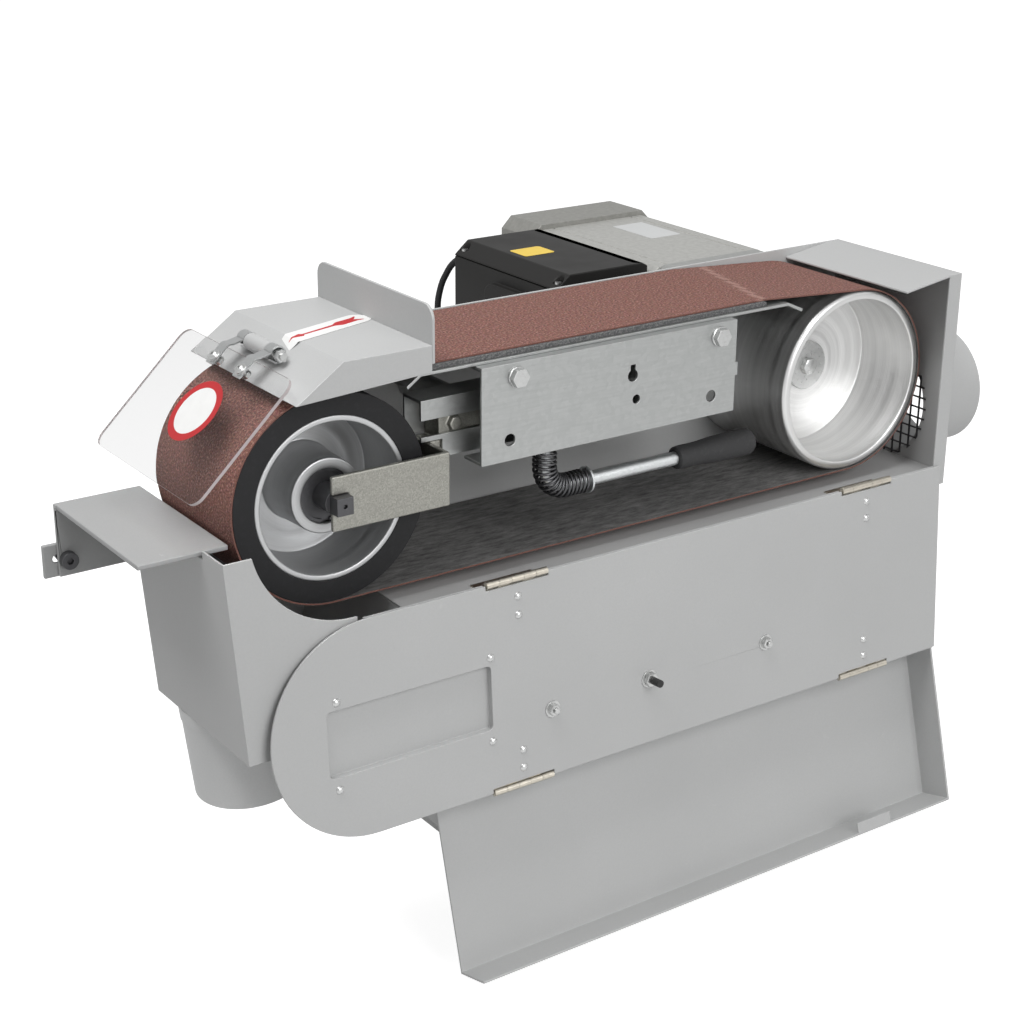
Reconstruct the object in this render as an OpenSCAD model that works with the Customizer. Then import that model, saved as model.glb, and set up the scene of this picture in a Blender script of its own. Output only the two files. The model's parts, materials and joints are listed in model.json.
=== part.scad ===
// Bench belt sander with its front door hanging open and the lid folded down.
// Millimetres. X runs to the drive wheel, Y to the motor, Z up.
// The origin is the centre of the foot plate's bolt pattern, on its underside.
// Most pieces are drawn from the contact wheel's axis at the belt's front edge, by head().

/* [Belt and wheels] */
// Width of the abrasive belt
belt_w = 150; // [140:1:152]
// Thickness of the belt
belt_t = 1.5; // [1:0.1:2]
// Diameter of the rubber contact wheel
contact_d = 200; // [190:1:206]
// Thickness of the rubber tyre
tyre_t = 21.5; // [15:0.5:26]
// Width of the contact wheel
wheel_w = 138; // [120:1:140]
// Distance between the two wheel axes
centre_d = 645; // [630:1:660]
// Diameter of the aluminium drive wheel
drive_d = 199; // [190:0.5:206]
// Diameter of the contact wheel's axle
axle_d = 25; // [22:1:26]
// Diameter of the motor's shaft
shaft_d = 24; // [20:1:28]
// Running gap between belt and wheels
belt_gap = 0.3; // [0.2:0.05:0.6]

/* [Platen] */
// How far the platen lifts the belt above the contact wheel
platen_rise = 8.8; // [6:0.2:10]
// Thickness of the graphite pad
pad_t = 5; // [3:0.5:6]
// Thickness of the platen plate
platen_t = 3; // [2:0.5:4]
// Where the flat part of the platen begins
platen_x0 = 92; // [90:1:96]
// Distance from the end of the flat platen to the drive wheel's axis
platen_end = 105; // [100:1:115]
// Distance from the end of the graphite pad to the drive wheel's axis
pad_end = 133; // [120:1:145]
// Length of the carrier channel
channel_l = 310; // [300:1:320]
// Height of the carrier channel
channel_h = 96; // [94:1:97]
// Depth of the channel's flanges
channel_d = 30; // [28:1:31]
// Thickness of the channel's sheet
channel_t = 3; // [2:0.5:3.5]

/* [Housing] */
// Thickness of the housing's sheet steel
sheet = 2.5; // [2:0.5:3]
// Clear depth of the housing between its front face and the back wall
housing_d = 189; // [188:1:192]
// Gap from the drive wheel to the outside of the end housing
end_gap = 17.5; // [15:0.5:30]
// Height of the wall's top edge above the wheel axis
wall_top = 111; // [111:0.5:114]
// Depth of the belt tray's floor below the wheel axis
tray_z = 118; // [118:1:124]
// Depth of the spark box's bottom below the wheel axis
spark_z = 223; // [215:1:235]
// Outside diameter of the exhaust tube
exhaust_d = 134; // [120:1:136]
// Length of the exhaust tube
exhaust_l = 88; // [60:1:110]
// Outside diameter of the spark duct
duct_d = 110; // [100:1:112]
// Length of the spark duct
duct_l = 92; // [70:1:110]

/* [Base] */
// Height of the wheel axes above the underside of the foot
axis_h = 520; // [515:1:560]
// Length of the foot plate
foot_l = 400; // [380:5:480]
// Depth of the foot plate
foot_w = 340; // [320:5:360]
// Thickness of the foot plate
foot_t = 8; // [6:1:12]
// Spacing of the foot bolts along X
bolt_x = 340; // [320:5:350]
// Spacing of the foot bolts along Y
bolt_y = 280; // [260:5:290]
// Diameter of the foot bolt holes
bolt_d = 13; // [11:0.5:14]
// Length of the column
column_l = 280; // [240:5:300]
// Depth of the column
column_w = 140; // [120:5:144]

/* [Hood and guard] */
// Height of the hood's top above the wheel axis
hood_z = 137; // [135:1:142]
// Where the hood's top ends against the fence
hood_x1 = 89; // [84:1:90]
// Height of the fence above the wheel axis
fence_top = 173; // [165:1:190]
// Thickness of the fence
fence_t = 3; // [3:0.5:5]
// Width of the guard screen
guard_w = 206; // [190:1:206]
// Length of the guard screen
guard_l = 137; // [120:1:139]
// Thickness of the guard screen
guard_t = 3; // [2:0.5:4]

/* [Tool rest] */
// Depth of the tool rest along X
rest_l = 87; // [70:1:95]
// Width of the tool rest
rest_w = 183; // [160:1:183]
// Thickness of the tool rest
rest_t = 5; // [4:0.5:6]
// Gap between the rest and the belt
rest_gap = 3; // [2:0.5:5]
// How far the rest can be set back
rest_travel = 8; // [4:1:10]

/* [Door and lid] */
// Height of the door panel
door_h = 215.3; // [215.1:0.1:215.5]
// Thickness of the door and lid sheet
door_t = 2.5; // [2:0.1:2.6]
// Distance from the outside of the end housing to the right edge of the door and lid
door_inset = 12; // [10:1:14]
// Angle that the open door leans out at its foot
door_lean = 4.1; // [3:0.1:6]
// Length of the lid from its hinge to its far edge
lid_l = 186; // [180:0.5:187]
// Depth of the lid's flanges
lid_h = 45; // [40:1:48]
// Left end of the lid
lid_x0 = 99; // [97:1:104]
// Angle between the folded lid and the line of the door
lid_fold = 11.2; // [8:0.2:14]
// Diameter of the hinge knuckles
knuckle_d = 7; // [6.4:0.2:7]
// Diameter of the hinge pins
pin_d = 4; // [3:0.2:4.4]

/* [Motor] */
// Half the width of the motor's body
motor_r = 92; // [88:1:94]
// Length of the motor's body
motor_l = 226; // [200:1:260]
// Length of the fan cowl
cowl_l = 66; // [55:1:80]
// Length of the flange end shield
shield_l = 87; // [80:1:100]

/* [Hidden] */
$fn = 64;

// Places in the machine, measured from the contact wheel's axis and the belt's front edge
base_x = 440;
base_y = 160;
front_y = -36;
wall_y = front_y + housing_d;
contact_r = contact_d / 2;
drive_r = drive_d / 2;
housing_x1 = centre_d + drive_r + end_gap;
belt_in = contact_r + belt_gap;
pad_top = contact_r + platen_rise;
belt_top = pad_top + belt_gap;
plate_top = pad_top - pad_t;
channel_top = plate_top - platen_t;
platen_x1 = centre_d - platen_end;
pad_x1 = centre_d - pad_end;
channel_x0 = 152;
channel_x1 = channel_x0 + channel_l;
channel_y0 = -16;
channel_bolt_x = [channel_x0 + 39.5, channel_x1 - 23.5];
channel_bolt_z = channel_top - 14;
spacer_d = 20;
bolt_m10 = 10;
hole_m10 = 11;
clear = 0.3;
run = 0.05;

// Slides a shape to the contact wheel's axis
module head() translate([-base_x, -base_y, axis_h]) children();
// Turns a flat outline drawn in X and Z into a plate that starts at y and is t deep
module plate_y(y, t) translate([0, y + t, 0]) rotate([90, 0, 0]) linear_extrude(t) children();
// A round bar along Y from y0 to y1
module bar_y(y0, y1, d) translate([0, y1, 0]) rotate([90, 0, 0]) cylinder(h = y1 - y0, d = d);
// A round bar along X from x0 to x1
module bar_x(x0, x1, d) translate([x0, 0, 0]) rotate([0, 90, 0]) cylinder(h = x1 - x0, d = d);
// A rectangle with round corners
module round_rect(w, h, r) {
  translate([r, 0]) square([w - 2 * r, h]);
  translate([0, r]) square([w, h - 2 * r]);
  for (x = [r, w - r], y = [r, h - r]) translate([x, y]) circle(r, $fn = 32);
}
// A box given by its two corners
module span(a, b) translate(a) cube(b - a);
// A hexagon head or nut along Y, across flats af
module hex_y(y0, y1, af) translate([0, y1, 0]) rotate([90, 0, 0])
  cylinder(h = y1 - y0, d = af / cos(30), $fn = 6);
// Points of an arc
function arc(cx, cy, r, a0, a1, n) =
  [for (i = [0 : n]) let (a = a0 + (a1 - a0) * i / n) [cx + r * cos(a), cy + r * sin(a)]];
// Angle at which the line from point p touches a circle of radius r at the origin
function touch(p, r, side) = atan2(p[1], p[0]) + side * acos(r / norm(p));

// Housing
wall_r = 95;
pilot_d = 110;
flange_bolts = 144;
flange_bolt_d = 10;
spark_x0 = -129.5;
spark_x1 = -112.8;
rest_z = -24;
spark_top = -23;
notch_z = rest_z - rest_t - 2;
notch_y = 4;
spark_right = [62, 40];
front_notch = [3, 9];
arc_r = 103.5;
exhaust_y = 67;
exhaust_z = -52;
exhaust_wall = 2;
strip_w = 18;
strip_z0 = -130;
top_l = 64;
top_drop = 9;

module back_wall() color("silver") head() difference() {
  plate_y(wall_y, sheet) difference() {
    polygon(concat(
      [[0, wall_top], [housing_x1 - sheet, wall_top], [housing_x1 - sheet, strip_z0],
       [spark_right[0] + sheet, strip_z0], [spark_right[1] + sheet, -spark_z + sheet],
       [spark_x1 + sheet, -spark_z + sheet], [spark_x0 + sheet, notch_z]],
      arc(0, 0, wall_r, 180 - asin(notch_z / wall_r), 90, 24)));
    translate([centre_d, 0]) circle(d = pilot_d);
    for (a = [45 : 90 : 315]) translate([centre_d, 0]) rotate(a) translate([flange_bolts / 2, 0])
      circle(d = flange_bolt_d);
    for (x = channel_bolt_x) translate([x, channel_bolt_z]) circle(d = hole_m10);
  }
}

door_x1 = housing_x1 - door_inset;
hinge_l = 71.2;
hinge_end = 76.8;
hinge_x = [[141.6, 141.6 + hinge_l], [door_x1 - hinge_end - hinge_l, door_x1 - hinge_end]];
hinge_out = 2.15;
hinge_y = front_y - hinge_out;
hinge_z = -105.8;
lip_gap = 0.6;
notch = knuckle_d / 2 + 0.5;
leaf_gap = notch + 1;

module belt_tray() color("silver") head() {
  span([spark_right[0], front_y + sheet, -tray_z], [housing_x1 - sheet, wall_y, -tray_z + sheet]);
  difference() {
    span([front_notch[1], front_y, strip_z0],
      [housing_x1 - strip_w, front_y + sheet, hinge_z - lip_gap]);
    span([front_notch[1] - 1, front_y - 1, strip_z0 - 1],
      [spark_right[0] + sheet, front_y + sheet + 1, -tray_z]);
    for (h = hinge_x) span([h[0] - 1, front_y - 1, hinge_z - notch],
      [h[1] + 1, front_y + sheet + 1, hinge_z + 1]);
  }
}

duct_x = -57;
duct_y = 97;
duct_wall = 2;
duct_tilt = 7;
duct_collar = [1, 8]; // how far it stands out, and its height on the duct's middle line

module spark_box() color("silver") head() difference() {
  union() {
    plate_y(front_y, sheet) difference() {
      polygon([[spark_x0, spark_top], [front_notch[0], spark_top], [front_notch[0], -tray_z],
        [spark_right[0] + sheet, -tray_z], [spark_right[1] + sheet, -spark_z], [spark_x1, -spark_z]]);
      circle(arc_r, $fn = 128);
    }
    plate_y(front_y, housing_d) polygon([[spark_x0, spark_top], [spark_x0 + sheet, spark_top],
      [spark_x1 + sheet, -spark_z + sheet], [spark_right[1], -spark_z + sheet],
      [spark_right[0], -tray_z], [spark_right[0] + sheet, -tray_z],
      [spark_right[1] + sheet, -spark_z], [spark_x1, -spark_z]]);
  }
  span([spark_x0 - 1, notch_y, notch_z], [-wall_r, wall_y + 1, spark_top + 1]);
  translate([duct_x, duct_y, -spark_z]) rotate([0, -duct_tilt, 0])
    translate([0, 0, -sheet * 2]) cylinder(h = sheet * 6, d = duct_d - 2 * duct_wall);
}

module end_housing() color("silver") head() {
  difference() {
    span([housing_x1 - sheet, front_y, strip_z0], [housing_x1, wall_y + sheet, wall_top]);
    translate([0, exhaust_y, exhaust_z])
      bar_x(housing_x1 - sheet - 1, housing_x1 + 1, exhaust_d - 2 * exhaust_wall);
  }
  span([housing_x1 - strip_w, front_y, strip_z0], [housing_x1 - sheet, front_y + sheet, wall_top - sheet]);
  plate_y(front_y, housing_d) polygon([[housing_x1 - sheet, wall_top],
    [housing_x1 - strip_w, wall_top], [housing_x1 - strip_w - top_l, wall_top - top_drop],
    [housing_x1 - strip_w - top_l, wall_top - top_drop - sheet],
    [housing_x1 - strip_w, wall_top - sheet], [housing_x1 - sheet, wall_top - sheet]]);
}

module exhaust_tube() color("silver") head() translate([0, exhaust_y, exhaust_z]) difference() {
  bar_x(housing_x1, housing_x1 + exhaust_l, exhaust_d);
  bar_x(housing_x1 - 1, housing_x1 + exhaust_l + 1, exhaust_d - 2 * exhaust_wall);
}

mesh_pitch = 12;
mesh_wire = 1.6;
mesh_n = 6;
mesh_r = exhaust_d / 2 + 3;

module exhaust_mesh() color("dimgray") head()
  translate([housing_x1 - sheet - mesh_wire, exhaust_y, exhaust_z]) rotate([90, 0, 90])
  linear_extrude(mesh_wire) intersection() {
    circle(mesh_r);
    translate([-mesh_r, -tray_z - exhaust_z + sheet + clear]) square(2 * mesh_r);
    for (i = [-mesh_n + 1 : mesh_n - 1]) {
      translate([i * mesh_pitch - mesh_wire / 2, -mesh_r]) square([mesh_wire, 2 * mesh_r]);
      translate([-mesh_r, i * mesh_pitch - mesh_wire / 2]) square([2 * mesh_r, mesh_wire]);
    }
  }

module spark_duct() color("silver") head() translate([duct_x, duct_y, -spark_z])
  rotate([0, -duct_tilt, 0]) difference() {
    union() {
      translate([0, 0, -duct_l]) cylinder(h = duct_l + 8, d = duct_d);
      translate([0, 0, -duct_collar[1]]) cylinder(h = 2 * duct_collar[1], d = duct_d + 2 * duct_collar[0]);
    }
    translate([0, 0, -duct_l - 1]) cylinder(h = duct_l + 12, d = duct_d - 2 * duct_wall);
    rotate([0, duct_tilt, 0]) translate([-duct_d, -duct_d, 0]) cube([2 * duct_d, 2 * duct_d, 30]);
  }

// Base
column_t = 3;
column_y0 = 6;

module base_column() color("gray") head()
  translate([base_x - column_l / 2, column_y0, -axis_h + foot_t])
  difference() {
    cube([column_l, column_w, axis_h - foot_t - tray_z]);
    translate([column_t, column_t, -1])
      cube([column_l - 2 * column_t, column_w - 2 * column_t, axis_h]);
  }

module foot_plate() color("gray") difference() {
  translate([-foot_l / 2, -foot_w / 2, 0]) linear_extrude(foot_t) round_rect(foot_l, foot_w, 12);
  for (x = [-bolt_x / 2, bolt_x / 2], y = [-bolt_y / 2, bolt_y / 2]) translate([x, y, -1])
    cylinder(h = foot_t + 2, d = bolt_d);
}

// Platen
keyhole = [330, 64];
lock_x = 335;
lock_z = hinge_z + 145;
lock_hole = 9;
low_hole = 12;
low_hole_x = [channel_x0 + 32.5, channel_x1 - 31];
low_hole_z = 25.5;
channel_z0 = channel_top - channel_h;
lever_x = 240;
lever_y = 5;
lever_pin = 12;

module platen_channel() color("lightgray") head() difference() {
  union() {
    translate([channel_x0, channel_y0, channel_z0]) difference() {
      cube([channel_l, channel_d, channel_h]);
      translate([-1, channel_t, channel_t]) cube([channel_l + 2, channel_d, channel_h - 2 * channel_t]);
    }
    span([channel_x1 - 0.5, channel_y0, 42], [channel_x1 + 3, channel_y0 + channel_t, 56]);
  }
  for (x = channel_bolt_x) translate([x, 0, channel_bolt_z])
    bar_y(channel_y0 - 1, channel_y0 + channel_t + 1, hole_m10);
  for (x = low_hole_x) translate([x, 0, low_hole_z])
    bar_y(channel_y0 - 1, channel_y0 + channel_t + 1, low_hole);
  translate([lock_x, 0, lock_z]) bar_y(channel_y0 - 1, channel_y0 + channel_t + 1, lock_hole);
  translate([keyhole[0], 0, keyhole[1]]) {
    bar_y(channel_y0 - 1, channel_y0 + channel_t + 1, 12);
    span([-3, channel_y0 - 1, 0], [3, channel_y0 + channel_t + 1, 11]);
  }
  translate([lever_x, lever_y, channel_z0 - 1]) cylinder(h = channel_t + 2, d = lever_pin + 2 * run);
}

washer_m10 = [20, 2];
head_m10 = [17, 6.4];

module channel_bolts() color("gainsboro") head() for (x = channel_bolt_x)
  translate([x, channel_y0, channel_bolt_z]) {
    bar_y(-washer_m10[1], 0, washer_m10[0]);
    hex_y(-washer_m10[1] - head_m10[1], -washer_m10[1], head_m10[0]);
    bar_y(-washer_m10[1] - 1, wall_y + sheet - channel_y0, bolt_m10);
    hex_y(wall_y + sheet - channel_y0, wall_y + sheet - channel_y0 + 8, head_m10[0]);
  }

module channel_spacers() color("silver") head() for (x = channel_bolt_x)
  translate([x, 0, channel_bolt_z]) difference() {
    bar_y(channel_y0 + channel_t, wall_y, spacer_d);
    bar_y(channel_y0, wall_y + 1, bolt_m10 + 2 * run);
  }

platen_y0 = -6;
platen_w = belt_w + 4;
tip = [20, 9];
left_tip = [15, 10];

module platen_plate() color("lightgray") head() plate_y(platen_y0, platen_w) polygon([
  [platen_x0, plate_top], [platen_x1, plate_top], [platen_x1 + tip[0], plate_top - tip[1]],
  [platen_x1 + tip[0] - platen_t / 2, plate_top - tip[1] - platen_t],
  [platen_x1 - platen_t / 4, plate_top - platen_t], [platen_x0 + platen_t / 4, plate_top - platen_t],
  [platen_x0 - left_tip[0] + platen_t / 2, plate_top - left_tip[1] - platen_t],
  [platen_x0 - left_tip[0], plate_top - left_tip[1]]]);

pad_y0 = -3;
pad_w = belt_w + 2;
pad_x0 = platen_x0 + 3;

module graphite_pad() color("dimgray") head() plate_y(pad_y0, pad_w) polygon([
  [pad_x0, plate_top], [pad_x0, pad_top - 1], [pad_x0 + 3, pad_top],
  [pad_x1 - 3, pad_top], [pad_x1, pad_top - 0.5], [pad_x1, plate_top]]);

// Slide rail for the contact wheel's yoke
rail_y0 = 16.5;
rail_d = 32;
rail_z = [10, 69];
rail_slot = [33, 49];
rail_x = [106, 400];
rail_t = 3;
rail_cut = [129.5, 28];
rail_post_x = [180, 350];

module slide_rail() color("lightgray") head() {
  difference() {
    span([rail_x[0], rail_y0, rail_z[0]], [rail_x[1], rail_y0 + rail_d, rail_z[1]]);
    span([rail_x[0] - 1, rail_y0 + rail_t, rail_z[0] + rail_t],
      [rail_x[1] + 1, rail_y0 + rail_d - rail_t, rail_z[1] - rail_t]);
    span([rail_x[0] - 1, rail_y0 - 1, rail_slot[0]], [rail_x[1] + 1, rail_y0 + rail_t + 1, rail_slot[1]]);
    span([rail_x[0] - 1, rail_y0 - 1, rail_z[0] - 1], [rail_cut[0], rail_y0 + rail_d + 1, rail_cut[1]]);
  }
  for (x = rail_post_x) translate([x, 0, (rail_z[0] + rail_z[1]) / 2])
    bar_y(rail_y0 + rail_d, wall_y, 30);
}

// Hood over the contact wheel, fence and guard screen
hood_y0 = -31;
hood_y1 = 172;
hood_x0 = -2;
hood_lip = [-50, 104];
hood_front = 111.7;
hood_foot = [20, 80, 60];
hood_t = sheet;
fence_step = 119.5;
barrel_x = -28;
barrel_z = 130;
barrel_d = 16;
barrel_y = [53, 91];
guard_pin = 6;

module hood_outline() polygon([[hood_x1, hood_z], [hood_x0, hood_z], hood_lip, [hood_x1, hood_front]]);
module hood() color("silver") head() {
  difference() {
    plate_y(hood_y0, hood_y1 - hood_y0) hood_outline();
    plate_y(hood_y0 + hood_t, hood_y1 - hood_y0 - 2 * hood_t)
      polygon([[hood_x1 + 1, hood_z - hood_t], [hood_x0 + 1, hood_z - hood_t],
        [hood_lip[0] + 1.5, hood_lip[1] - hood_t + 0.5], [hood_lip[0] - 8, hood_lip[1] - 14],
        [hood_x1 + 1, hood_lip[1] - 14]]);
  }
  span([hood_foot[0], wall_y + sheet, hood_foot[2]],
    [hood_foot[1], wall_y + sheet + hood_t, hood_z - hood_t]);
}

module fence() color("silver") head() translate([hood_x1, hood_y0, 0]) rotate([90, 0, 90])
  linear_extrude(fence_t) difference() {
    union() {
      translate([0, hood_z]) square([guard_w, fence_top - hood_z - 14]);
      translate([0, hood_z - 5]) round_rect(guard_w, fence_top - hood_z + 5, 14);
      translate([0, belt_top + belt_t + 2]) square([guard_w, 25]);
    }
    translate([wall_y - hood_y0 - 2, 0]) square([60, wall_top + 2]);
    translate([-1, 0]) square([1 - hood_y0, fence_step]);
  }

module guard_barrel() color("silver") head() translate([barrel_x, 0, barrel_z]) difference() {
  bar_y(barrel_y[0], barrel_y[1], barrel_d);
  bar_y(barrel_y[0] - 1, barrel_y[1] + 1, guard_pin + 2 * run);
  plate_y(barrel_y[0] - 1, barrel_y[1] - barrel_y[0] + 2) translate([-barrel_x, -barrel_z])
    hood_outline();
}

guard_top = [-49.5, 126];
guard_slope = 43.7;
guard_y0 = hood_y0;
strap_w = 13;
strap_t = 1.5;
strap_u = 13;
strap_l = 21;
strap_y = [barrel_y[0] - clear - strap_w / 2, barrel_y[1] + clear + strap_w / 2];
eye_r = 8.2;
screw_d = 5;
// The bolt's place along the screen (u) and out of its inner face (w)
eye_u = -(barrel_x - guard_top[0]) * cos(guard_slope) - (barrel_z - guard_top[1]) * sin(guard_slope);
eye_w = -(barrel_x - guard_top[0]) * sin(guard_slope) + (barrel_z - guard_top[1]) * cos(guard_slope);

// Frame of the guard screen: u runs down the screen from its top edge, w out of its outer face
module guard_frame() translate([guard_top[0], 0, guard_top[1]]) rotate([0, -guard_slope, 0])
  mirror([1, 0, 0]) children();

module guard_screen() color("white", 0.4) head() guard_frame() difference() {
  translate([0, guard_y0, 0]) linear_extrude(guard_t) round_rect(guard_l, guard_w, 12);
  for (y = strap_y) translate([strap_u, y, -1]) cylinder(h = guard_t + 2, d = screw_d + 2 * run);
}

module guard_straps() color("lightgray") head() guard_frame() for (y = strap_y)
  difference() {
    union() {
      plate_y(y - strap_w / 2, strap_w) {
        translate([-2, guard_t]) square([strap_l + 2, strap_t]);
        translate([-2, -strap_t]) square([strap_l - 6, strap_t]);
        polygon([[-2, -strap_t], [-2, guard_t + strap_t], [-4, guard_t + strap_t],
          [eye_u, eye_w + eye_r], [eye_u, eye_w + eye_r - 4], [-8, -strap_t]]);
      }
      translate([eye_u, 0, eye_w]) bar_y(y - strap_w / 2, y + strap_w / 2, 2 * eye_r);
    }
    translate([eye_u, 0, eye_w]) bar_y(y - strap_w, y + strap_w, guard_pin + 2 * run);
    translate([strap_u, y, -5]) cylinder(h = 20, d = screw_d + 2 * run);
    plate_y(y - strap_w, 2 * strap_w) translate([-0.01, 0]) square([strap_l, guard_t]);
  }

module guard_bolts() color("gainsboro") head() {
  translate([barrel_x, 0, barrel_z]) {
    bar_y(barrel_y[0] - strap_w - 10, barrel_y[1] + strap_w + 6, guard_pin);
    hex_y(barrel_y[0] - strap_w - 8, barrel_y[0] - strap_w - 2 * clear, 10);
    hex_y(barrel_y[1] + strap_w + 2 * clear, barrel_y[1] + strap_w + 5, 10);
  }
  guard_frame() for (y = strap_y) translate([strap_u, y, 0]) {
    translate([0, 0, -strap_t - 4]) cylinder(h = guard_t + 2 * strap_t + 5, d = screw_d);
    translate([0, 0, -strap_t - 4]) cylinder(h = 4, d = 9, $fn = 6);
    translate([0, 0, guard_t + strap_t]) cylinder(h = 3, d1 = 9.5, d2 = 6);
  }
}

// Belt: it leaves the pad's end and touches each wheel where the straight line does
module abrasive_belt() color("sienna") head() plate_y(0, belt_w) difference() {
  belt_loop(belt_t);
  belt_loop(0);
}
module belt_loop(grow) let (rl = contact_r + belt_gap + grow, rd = drive_r + belt_gap + grow,
    z = belt_top + grow, left = [pad_x0 + 2, z], right = [pad_x1 - centre_d, z])
  polygon(concat(arc(0, 0, rl, touch(left, rl, 1), 270, 60), arc(centre_d, 0, rd, -90,
    touch(right, rd, -1), 60), [[pad_x1, z], left]));

// Contact wheel and its yoke
module lathe_y() rotate([-90, 0, 0]) rotate_extrude($fn = 128) children();
bearing_d = 52;
bearing_w = 15;
bearing_in = 14;
hub_r = 36;
hub_y = [10, wheel_w - 10];
rim_t = 5.5;
web = [62, 70];
shoulder = 23;
circlip_t = 1.7;

module wheel_tyre() color("#222222") head() lathe_y() difference() {
  square([contact_r, wheel_w]);
  translate([0, -1]) square([contact_r - tyre_t, wheel_w + 2]);
}
module wheel_hub() color("lightgray") head() let (rim = contact_r - tyre_t) lathe_y() polygon([
  [rim - rim_t, 0], [rim, 0], [rim, wheel_w], [rim - rim_t, wheel_w], [rim - rim_t - 2, web[1]],
  [hub_r + 2, web[1]], [hub_r, hub_y[1]], [bearing_d / 2, hub_y[1]],
  [bearing_d / 2, wheel_w - bearing_in - bearing_w], [shoulder, wheel_w - bearing_in - bearing_w],
  [shoulder, bearing_in + bearing_w], [bearing_d / 2, bearing_in + bearing_w],
  [bearing_d / 2, hub_y[0]], [hub_r, hub_y[0]], [hub_r + 2, web[0]], [rim - rim_t - 2, web[0]]]);
module wheel_bearings() color("#333333") head() {
  for (y = [bearing_in, wheel_w - bearing_in - bearing_w]) difference() {
    bar_y(y, y + bearing_w, bearing_d);
    bar_y(y - 1, y + bearing_w + 1, axle_d + 2 * run);
  }
  for (y = [bearing_in - circlip_t, wheel_w - bearing_in]) difference() {
    bar_y(y, y + circlip_t, bearing_d);
    bar_y(y - 1, y + circlip_t + 1, bearing_d - 6);
    span([-4, y - 1, -bearing_d], [4, y + circlip_t + 1, 0]);
  }
}

arm_y = [-15.2, wheel_w + 4.5];
arm_t = 5;
yoke_h = 53.2;
yoke_x = [-8.2, 117.8];
axle_sq = 17;
axle_y = [-24.7, arm_y[1] + arm_t + 2];

module yoke() color("#b5b3a5") head() {
  for (y = arm_y) difference() {
    span([yoke_x[0], y, -yoke_h / 2], [yoke_x[1] - arm_t, y + arm_t, yoke_h / 2]);
    span([yoke_x[0] - 1, y - 1, -axle_sq / 2 - run], [axle_sq / 2 + run, y + arm_t + 1, axle_sq / 2 + run]);
  }
  span([yoke_x[1] - arm_t, arm_y[0], -yoke_h / 2], [yoke_x[1], arm_y[1] + arm_t, yoke_h / 2]);
}
module wheel_axle() color("#3a3a3a") head() difference() {
  union() {
    bar_y(arm_y[0] + arm_t, arm_y[1], axle_d);
    span([-axle_sq / 2, axle_y[0], -axle_sq / 2], [axle_sq / 2, arm_y[0] + arm_t + 1, axle_sq / 2]);
    span([-axle_sq / 2, arm_y[1] - 1, -axle_sq / 2], [axle_sq / 2, axle_y[1], axle_sq / 2]);
  }
  bar_y(axle_y[0] - 1, axle_y[0] + 4, 4);
}
bar_x1 = 300;
bar_gap = 0.5;
slot_bolt = [144, 41];

module slide_bar() color("#b5b3a5") head() {
  span([rail_cut[0] - 2, rail_y0 + rail_t + bar_gap, rail_z[0] + rail_t + bar_gap],
    [bar_x1, rail_y0 + rail_d - rail_t - bar_gap, rail_z[1] - rail_t - bar_gap]);
  span([yoke_x[1], rail_y0 + rail_t + bar_gap, rail_z[0] + rail_t + bar_gap],
    [rail_cut[0] - 1, rail_y0 + rail_d - rail_t - bar_gap, yoke_h / 2]);
  translate([slot_bolt[0], 0, slot_bolt[1]]) hex_y(rail_y0 - 2, rail_y0 + rail_t + bar_gap, 13);
}

// Release lever: a bent rod on an upright shaft, with a spring over its bend
lever_z = -42;
bend_r = 24;
lever_x1 = 290;
rod_d = 14;
grip_d = 29;
grip_l = 101;
grip_x = [centre_d - 140 - grip_l, centre_d - 140];
collar_d = 27;
collar_z = channel_z0 - clear - 2;

module lever_shaft() color("silver") head() translate([lever_x, lever_y, 0]) {
  translate([0, 0, lever_z + bend_r]) cylinder(h = 40 - lever_z - bend_r, d = lever_pin);
  translate([0, 0, collar_z]) cylinder(h = 2, d = collar_d);
  translate([0, 0, channel_z0 + channel_t + clear]) cylinder(h = 2, d = 18);
  translate([bend_r, 0, lever_z + bend_r]) rotate([90, 180, 0]) rotate_extrude(angle = 90)
    translate([bend_r, 0]) circle(d = lever_pin);
  translate([0, 0, lever_z]) bar_x(bend_r, lever_x1 - lever_x, lever_pin);
}
module lever_rod() color("silver") head() translate([0, lever_y, lever_z]) {
  bar_x(lever_x1, lever_x1 + 2, collar_d);
  bar_x(lever_x1, grip_x[0] + 6, rod_d);
}
module lever_grip() color("#222222") head() translate([0, lever_y, lever_z]) difference() {
  union() {
    bar_x(grip_x[0] + 5, grip_x[1] - 6, grip_d);
    translate([grip_x[0], 0, 0]) rotate([0, 90, 0]) cylinder(h = 5, d1 = rod_d + 3, d2 = grip_d);
    translate([grip_x[1] - 6, 0, 0]) rotate([0, 90, 0]) cylinder(h = 6, d1 = grip_d, d2 = grip_d - 9);
  }
  bar_x(grip_x[0] - 1, grip_x[0] + 6, rod_d);
}

// Spring: a wire wound round the rod's path, straight for one wire diameter at each end
wire_d = 2;
coil_r = 11;
coil_turns = 17;
turn_rings = 8;
wire_sides = 6;
leg = collar_z - lever_z - bend_r;
run_l = lever_x1 - lever_x - bend_r;
coil_l = leg + bend_r * PI / 2 + run_l - 2 * wire_d;
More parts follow.
